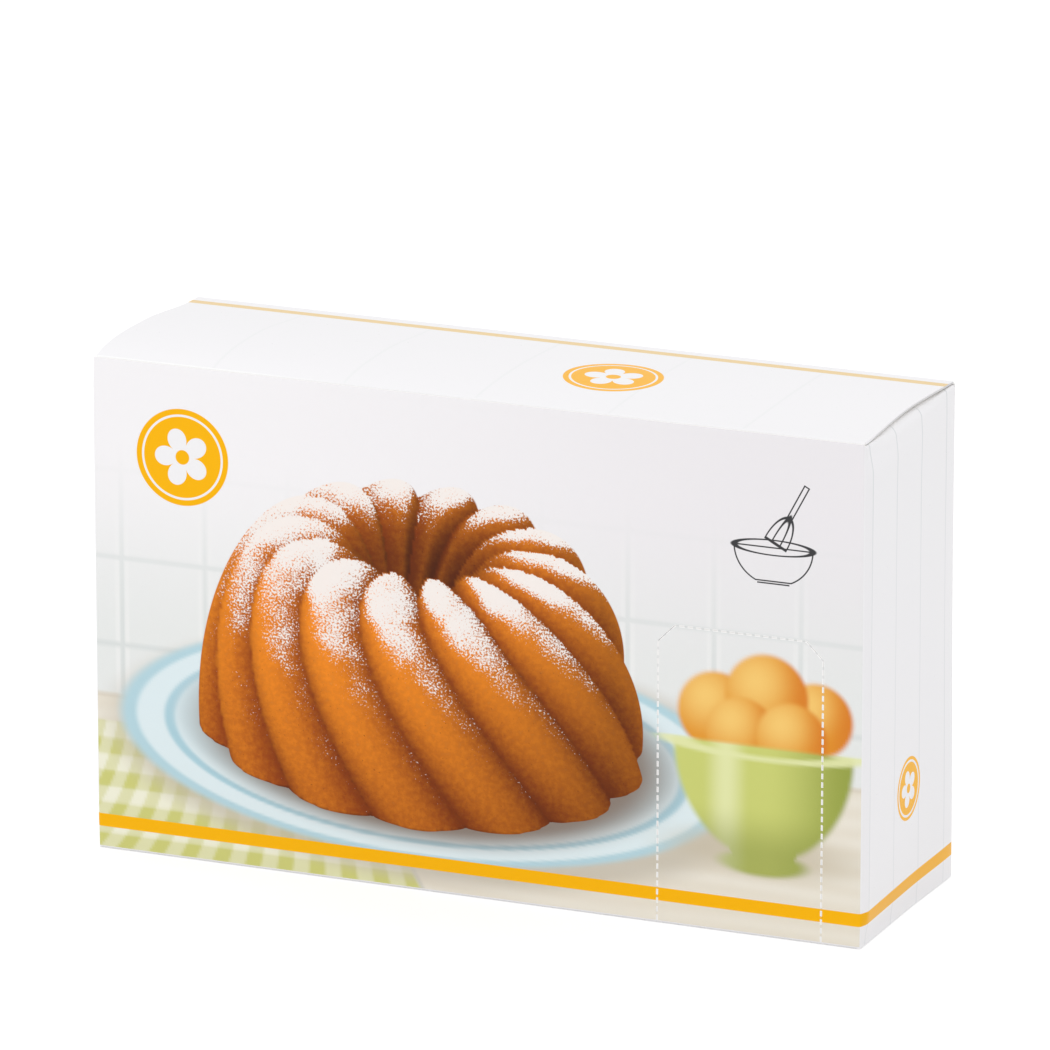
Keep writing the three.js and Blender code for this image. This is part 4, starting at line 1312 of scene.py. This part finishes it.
def fine_relief(x, z, deep):
    """Fleece dimples, face, legs and rock ledges, as changes of the pressing's depth."""
    along, up = mould_shares(x, z)
    inside = smooth(deep, 3, 10)

    def oval(centre_along, centre_up, radius_along=1 / MOULD_LENGTH, radius_up=1 / MOULD_HEIGHT):
        """How far from a place, in its own radii or in millimetres."""
        return np.hypot((along - centre_along) / radius_along, (up - centre_up) / radius_up)

    # Dimples in staggered rows over the body.
    level = z / (DIMPLE_PITCH * 0.87)
    col = x / DIMPLE_PITCH + np.round(level) % 2 / 2
    off = np.hypot((col - np.round(col)) * DIMPLE_PITCH, (level - np.round(level)) * DIMPLE_PITCH * 0.87)
    body = smooth(up, 0.30, 0.34) * smooth(up, 0.66, 0.62) * smooth(along, 0.06, 0.1)
    chest = smooth(up, 0.2, 0.3) * smooth(up, 0.7, 0.6) * smooth(along, 0.58, 0.62) * smooth(along, 0.84, 0.8)
    fleece = np.maximum(body * smooth(along, 0.62, 0.58), chest) * smooth(oval(0.45, 0.3, 0.1, 0.1), 0.8, 1.3)
    relief = -1.9 * ridge(off, 1.5) * fleece * smooth(deep, 6, 9)
    # Hind leg and fore leg folded along the top of the rock.
    for leg_along, leg_up, radius_along, radius_up, tilt, rise in LEG_SHARES:
        leg = np.hypot((along - leg_along - tilt * (up - leg_up)) / radius_along, (up - leg_up) / radius_up)
        relief += rise * smooth(leg, 1.2, 0.75) * inside
    # Rock ledges round the foot, uneven in height and length.
    drift = x / 17.0 + 1.6 * np.sin(x / 23.0)
    wobble = 0.02 * np.sin(drift) + 0.012 * np.sin(x / 6.7 + 2 * np.sin(x / 19.0))
    wobble += 0.005 * np.sin(x / 2.3 + z / 4.0)
    steps = (up + wobble) * LEDGES
    level = np.floor(steps)
    ledge = steps - level
    broken = 0.5 + 0.5 * np.sin(x / 9.3 + 2.4 * level + 1.5 * np.sin(x / 5.1 + level))
    rock = smooth(up, 0.265, 0.23) * smooth(up, 0.01, 0.06) * smooth(deep, 2, 7)
    relief += rock * (1.9 * smooth(ledge, 0.0, 0.22) * smooth(ledge, 1.0, 0.4) * (0.3 + 0.7 * broken) - 0.7)
    # Ear, eye, nostril and mouth.
    ear = oval(0.745, 0.795, 0.062, 0.15)
    relief += 1.3 * smooth(ear, 1.1, 0.8) - 0.8 * ridge(ear - 1.12, 0.1)
    relief -= 0.9 * smooth(ear, 0.75, 0.2) * smooth(up, 0.9, 0.7)
    eye = oval(0.865, 0.83)
    relief += 0.9 * ridge(eye - 3.0, 0.8) + 0.7 * ridge(eye, 1.2)
    mouth = (up - 0.728 - 0.12 * (along - 0.96)) * MOULD_HEIGHT
    relief -= 0.7 * ridge(mouth, 0.8) * smooth(along, 0.91, 0.945) * inside
    relief -= 0.7 * ridge(oval(0.972, 0.775), 1.1)
    return relief * smooth(deep, 0.5, 4)


def flange_loop():
    """The sheet's own outline: the pressing at the mouth, and the flange round it higher up."""
    points = mould_line[::-1]
    after = np.gradient(points, axis=0)
    width = FLANGE * np.clip((points[:, 1] - MOUTH_LEVEL - FLANGE_START) / FLANGE, 0, 1)
    moved = points + unit(np.stack([after[:, 1], -after[:, 0]], -1)) * width[:, None]
    moved = moved[-depth_in(moved, [closed_line]) > width - 0.05]
    kept = [moved[0]]
    for point in moved[1:]:
        if np.linalg.norm(point - kept[-1]) > 0.7:
            kept.append(point)
    return np.array(kept)


FOUND_LEVELS = {}


def mould_levels(x, z):
    """The pressing's depth at points, and how much further its slopes reach through the sheet. Both
    halves ask for the same points, so each set is worked out once."""
    key = x.tobytes() + z.tobytes()
    if key not in FOUND_LEVELS:
        base, deep = hollow_height(x, z)
        base = np.maximum(base + np.where(deep > 0, fine_relief(x, z, deep), 0), 0)
        bead = np.where(deep < 0, BEAD_HEIGHT * ridge(-deep - FLANGE_BEAD, BEAD_WIDTH), 0)
        base = base + bead * smooth(z, MOUTH_LEVEL + 30, MOUTH_LEVEL + 38)
        slopes = [hollow_height(x + dx, z + dz)[0] - hollow_height(x - dx, z - dz)[0]
                  for dx, dz in ((SLOPE_NUDGE, 0), (0, SLOPE_NUDGE))]
        steep = np.hypot(*slopes) / (2 * SLOPE_NUDGE)
        FOUND_LEVELS[key] = (base, np.minimum(THICKEST_SLOPE, np.hypot(1, steep)))
    return FOUND_LEVELS[key]


mould_grid = (lines(MOULD_LEFT - 6, -MOULD_LEFT + 6, MOULD_STEP),
              lines(MOUTH_LEVEL, MOUTH_LEVEL + 142, MOULD_STEP))
for word, body, side in (("front", "mould_front", -1), ("back", "mould", 1)):
    def mould_place(x, z, depth):
        base, thick = mould_levels(x, z)
        return np.column_stack([x, side * (PARTING_GAP / 2 + base + (SHEET - depth) * thick), z])

    shell = sheet(f"mould_{word}_shell", flange_loop(), mould_grid, mould_place, SHEET,
                  (COATED, COATED, COATED))
    settle(shell, body, "coated_steel", f"mould_{word}_half")


# Collar: a band with an inward lip on top and a pressed bead.
def collar():
    path = box_loop(COLLAR_CENTRE - COLLAR_HALF_LENGTH, -COLLAR_HALF_WIDTH,
                    COLLAR_CENTRE + COLLAR_HALF_LENGTH, COLLAR_HALF_WIDTH, COLLAR_RADIUS, 12)
    along = unit(np.roll(path, -1, axis=0) - path) + unit(path - np.roll(path, 1, axis=0))
    outward = unit(np.stack([along[:, 1], -along[:, 0]], -1))
    line = Profile((COLLAR_WALL, COLLAR_BOTTOM + 0.02), 90, [
        (6.2,), (25, 1.5), (0.5,), (-50, 1.5), (0.5,), (25, 1.5), (8.2,), (90, 1.6), (3.3,),
    ])
    lengths = np.unique(np.concatenate([np.linspace(a, b, 5) for a, b in zip(line.stops, line.stops[1:])]))
    outer, inner = line.at(lengths), line.at(lengths, COLLAR_WALL)
    stretch = COLLAR_HEIGHT / (outer[:, 1].max() - COLLAR_BOTTOM)
    shift = (COLLAR_WALL - outer[:, 0].max(), COLLAR_BOTTOM * (1 - stretch))
    outer, inner = [face * (1, stretch) + shift for face in (outer, inner)]
    inner[:, 1] = np.minimum(inner[:, 1], COLLAR_BOTTOM + COLLAR_HEIGHT - COLLAR_WALL)
    section = np.vstack([inner, outer[::-1]])
    section[:, 0] = np.maximum(section[:, 0], -COLLAR_LIP)
    rings = [np.column_stack([spot + out * section[:, :1], section[:, 1]])
             for spot, out in zip(path, outward)]
    settle(ring_solid("collar_band", rings, TINNED, closed=True), "stand", "tinned_steel", "collar")


def clip_strap():
    """The collar's clip has the shape of its node, with its edges rounded."""
    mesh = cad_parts["collar_clip"].data.copy()
    mesh.materials.clear()
    mesh.materials.append(TINNED)
    piece = show("clip_strap", mesh)
    piece.modifiers.new("weld", "WELD").merge_threshold = 1e-6
    merge = piece.modifiers.new("planes", "DECIMATE")
    merge.decimate_type = "DISSOLVE"
    merge.angle_limit = math.radians(1)
    soften = piece.modifiers.new("edges", "BEVEL")
    soften.width = 0.2 * MM
    soften.segments = 2
    soften.limit_method = "ANGLE"
    soften.angle_limit = math.radians(30)
    made = bpy.data.meshes.new_from_object(piece.evaluated_get(bpy.context.evaluated_depsgraph_get()))
    piece.modifiers.clear()
    piece.data = made
    shade_smooth(made)
    keep(piece, "sheet", np.array([v.co for v in made.vertices]) / MM)
    settle(piece, "collar_clip", "tinned_steel", "collar_clip")


collar()
clip_strap()

# Stand: base plate, slotted posts, rivets, knobs and nuts.
TIN = (TINNED, TINNED, TINNED)
base = sheet("stand_base_plate",
             box_loop(-BASE_HALF_LENGTH, -BASE_HALF_WIDTH, BASE_HALF_LENGTH, BASE_HALF_WIDTH, 12, 8),
             (lines(-BASE_HALF_LENGTH, BASE_HALF_LENGTH, 12), lines(-BASE_HALF_WIDTH, BASE_HALF_WIDTH, 12)),
             lambda x, y, depth: np.column_stack([x, y, BASE_TOP - depth]), STAND_SHEET, TIN,
             holes=[hole_loop(x, y) for x in (-RIVET_X, RIVET_X) for y in (-RIVET_Y, RIVET_Y)], bevel=0.22)
settle(base, "stand", "tinned_steel", "stand_base")


def post(side, word):
    """A plate with a rounded top and a slot, bent outward at the bottom into a riveted foot."""
    edge = POST_OUTSIDE + POST_FOOT
    line = Profile((edge, POST_BOTTOM + STAND_SHEET), 180, [
        (POST_FOOT - POST_BEND,), (-90, POST_BEND), (POST_TOP - POST_BOTTOM - STAND_SHEET - POST_BEND,),
    ])
    foot, upright = line.stops[1:3]

    def level(z):
        return upright + z - POST_BOTTOM - STAND_SHEET - POST_BEND

    def bow(start, reach, across, count):
        angles = np.linspace(0, math.pi, count)
        return [(start + reach * math.sin(angle), across * math.cos(angle)) for angle in angles]

    arc = bow(level(POST_TOP) - POST_HALF_WIDTH, POST_HALF_WIDTH, -POST_HALF_WIDTH, 33)
    outline = rounded([(0.0, POST_HALF_WIDTH), (0.0, -POST_HALF_WIDTH)] + arc, [4.0, 4.0] + [0] * len(arc))
    slot = bow(level(KNOB_LEVEL), SLOT_HALF_WIDTH, SLOT_HALF_WIDTH, 9)
    slot += bow(level(SLOT_LOW), -SLOT_HALF_WIDTH, -SLOT_HALF_WIDTH, 9)

    def place(along, y, depth):
        spot = line.at(along, depth)
        return np.column_stack([side * spot[:, 0], y, spot[:, 1]])

    grid = (lines(0, level(POST_TOP), 10, (foot, upright, 0.5)), lines(-POST_HALF_WIDTH, POST_HALF_WIDTH, 10))
    holes = [np.array(slot), *(hole_loop(edge - RIVET_X, y) for y in (-RIVET_Y, RIVET_Y))]
    piece = sheet(f"{word}_post_plate", outline, grid, place, STAND_SHEET, TIN, holes=holes, bevel=0.2)
    settle(piece, "stand", "tinned_steel", f"stand_{word}_post")


def scallop(angles, radius):
    """The knob's edge has ten shallow hollows."""
    return radius - 0.9 * smooth(radius, 4.5, 7.4) * (0.5 + 0.5 * np.cos(10 * angles))


def hexagon(angles, radius):
    """The nut's flats cut its outer rings."""
    flats = NUT_FLAT / np.cos(angles % (math.pi / 3) - math.pi / 6)
    return np.minimum(radius, flats) if radius > 3 else radius


# Sections are radius and place along the axis.
STUD_END = -(STAND_SHEET + 2 * CLAMP_GAP + NUT_DEPTH)
THREADS = 8
knob_section = [(0, 5.9), (3.2, 5.9), (3.7, 6.3), (4.2, 6.9), (4.8, 7.0), (6.9, 7.0), (7.6, 6.7), (8.0, 6.0),
                (8.0, 1.1), (7.7, 0.4), (6.9, 0.0), (1.8, 0.0)]
for turn in range(THREADS):
    knob_section += [(radius, STUD_END * (turn + share) / THREADS)
                     for radius, share in ((1.8, 0.15), (1.62, 0.6), (1.8, 0.95))]
knob_section += [(1.5, STUD_END), (0, STUD_END)]
NUT_SECTION = [(2.1, 0.3), (2.3, 0.0), (4.2, 0.0), (5.0, 0.5), (5.0, 2.5), (4.2, NUT_DEPTH), (2.3, NUT_DEPTH),
               (2.1, 2.7)]
RIVET_SECTION = [(0, 7.0), (0.9, 6.93), (1.8, 6.7), (2.6, 6.25), (3.1, 5.75), (3.2, 5.6), (1.6, 5.6),
                 (1.6, 3.0), (0, 3.0)]

for side, word in SIDES:
    post(side, word)
    outward = (side, 0, 0)
    knob_place = (side * (POST_OUTSIDE + CLAMP_GAP), 0, KNOB_LEVEL)
    knob = lathe(f"{word}_knob_turned", knob_section, knob_place, outward, COATED, 80, scallop)
    settle(knob, f"{word}_knob", "coated_steel", f"{word}_knob")
    nut_place = (side * (POST_INSIDE - CLAMP_GAP - NUT_DEPTH), 0, KNOB_LEVEL)
    nut = lathe(f"{word}_nut_hex", NUT_SECTION, nut_place, outward, TURNED, 60, hexagon, closed=True)
    settle(nut, f"{word}_clamp", "tinned_steel", f"{word}_clamp_nut")
    for y, row in ((-RIVET_Y, "front"), (RIVET_Y, "back")):
        rivet = lathe(f"{word}_{row}_rivet_head", RIVET_SECTION, (side * RIVET_X, y, 0), (0, 0, 1),
                      TURNED, 28)
        settle(rivet, "stand", "tinned_steel", f"{word}_{row}_rivet")

pin_low, pin_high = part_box("clip_pin")
pin_half = (pin_high.y - pin_low.y) / 2 / MM
pin_right = [(0, pin_half), (0.7, pin_half), (1.0, pin_half - 0.3)]
pin_section = [(radius, -along) for radius, along in pin_right] + pin_right[::-1]
pin = lathe("clip_pin_turned", pin_section, (pin_low + pin_high) / 2 / MM, (0, 1, 0), TURNED, 24)
settle(pin, "stand", "tinned_steel", "clip_pin")


# Floor, lights and camera.
FLOOR_REACH = 6.0
AIM = Vector((0, 0, 0.08))


def floor():
    reach = FLOOR_REACH
    mesh = bpy.data.meshes.new("floor")
    mesh.from_pydata([(-reach, -reach, 0), (reach, -reach, 0), (reach, reach, 0), (-reach, reach, 0)], [],
                     [(0, 1, 2, 3)])
    material = bpy.data.materials.new("floor")
    material.use_nodes = True
    tree = material.node_tree
    tree.nodes.clear()
    paths = add_node(tree, "LightPath", {}).node.outputs
    seen = add_node(tree, "Math", {0: paths["Is Camera Ray"], 1: paths["Is Glossy Ray"]}, operation="MAXIMUM")
    plain = add_node(tree, "BsdfDiffuse", {"Color": (0.7, 0.7, 0.7, 1)})
    soft = add_node(tree, "BsdfDiffuse", {"Color": (0.5, 0.5, 0.5, 1)})
    both = add_node(tree, "AddShader", {0: soft, 1: add_node(tree, "Emission", {"Strength": 0.62})})
    add_node(tree, "OutputMaterial", {"Surface": add_node(tree, "MixShader", {0: seen, 1: plain, 2: both})})
    mesh.materials.append(material)
    show("floor", mesh)


def stand_at(name, data, place, look):
    """A lamp or the camera at a place, looking along a direction."""
    holder = show(name, data)
    holder.location = place
    holder.rotation_mode = "QUATERNION"
    holder.rotation_quaternion = look.to_track_quat("-Z", "Y")
    return holder


def lamp(name, place, size, power):
    light = bpy.data.lights.new(name, "AREA")
    light.shape = "DISK"
    light.size = size
    light.energy = power
    stand_at(name, light, place, AIM - Vector(place))


floor()
lamp("key", (-1.1, -2.2, 0.9), 1.6, 9.6)
lamp("fill", (2.3, -1.0, 0.7), 1.6, 4.6)

world = bpy.data.worlds.new("studio")
bpy.context.scene.world = world
world.use_nodes = True
tree = world.node_tree
sky = tree.nodes["Background"].inputs
sky["Color"].default_value = (1, 1, 1, 1)
seen = add_node(tree, "LightPath", {}, "Is Camera Ray")
feed(tree, add_node(tree, "MapRange", {"Value": seen, "To Min": 0.95, "To Max": 1.0}), sky["Strength"])
bpy.context.scene.view_settings.view_transform = "Standard"

azimuth, elevation = math.radians(22.93), math.radians(16.43)
level_reach = math.cos(elevation)
back_way = Vector((math.sin(azimuth) * level_reach, -math.cos(azimuth) * level_reach, math.sin(elevation)))
right_way = Vector((math.cos(azimuth), math.sin(azimuth), 0))
up_way = back_way.cross(right_way)
camera_data = bpy.data.cameras.new("camera")
camera_data.lens = 339.9
camera_data.sensor_width = 36
camera_data.clip_start = 0.1
camera_data.clip_end = 30
tall = HEIGHT * MM
camera_place = Vector((0, 0, tall / 2)) + tall * (0.005 * right_way + 0.178 * up_way + 19.235 * back_way)
bpy.context.scene.camera = stand_at("camera", camera_data, camera_place, -back_way)
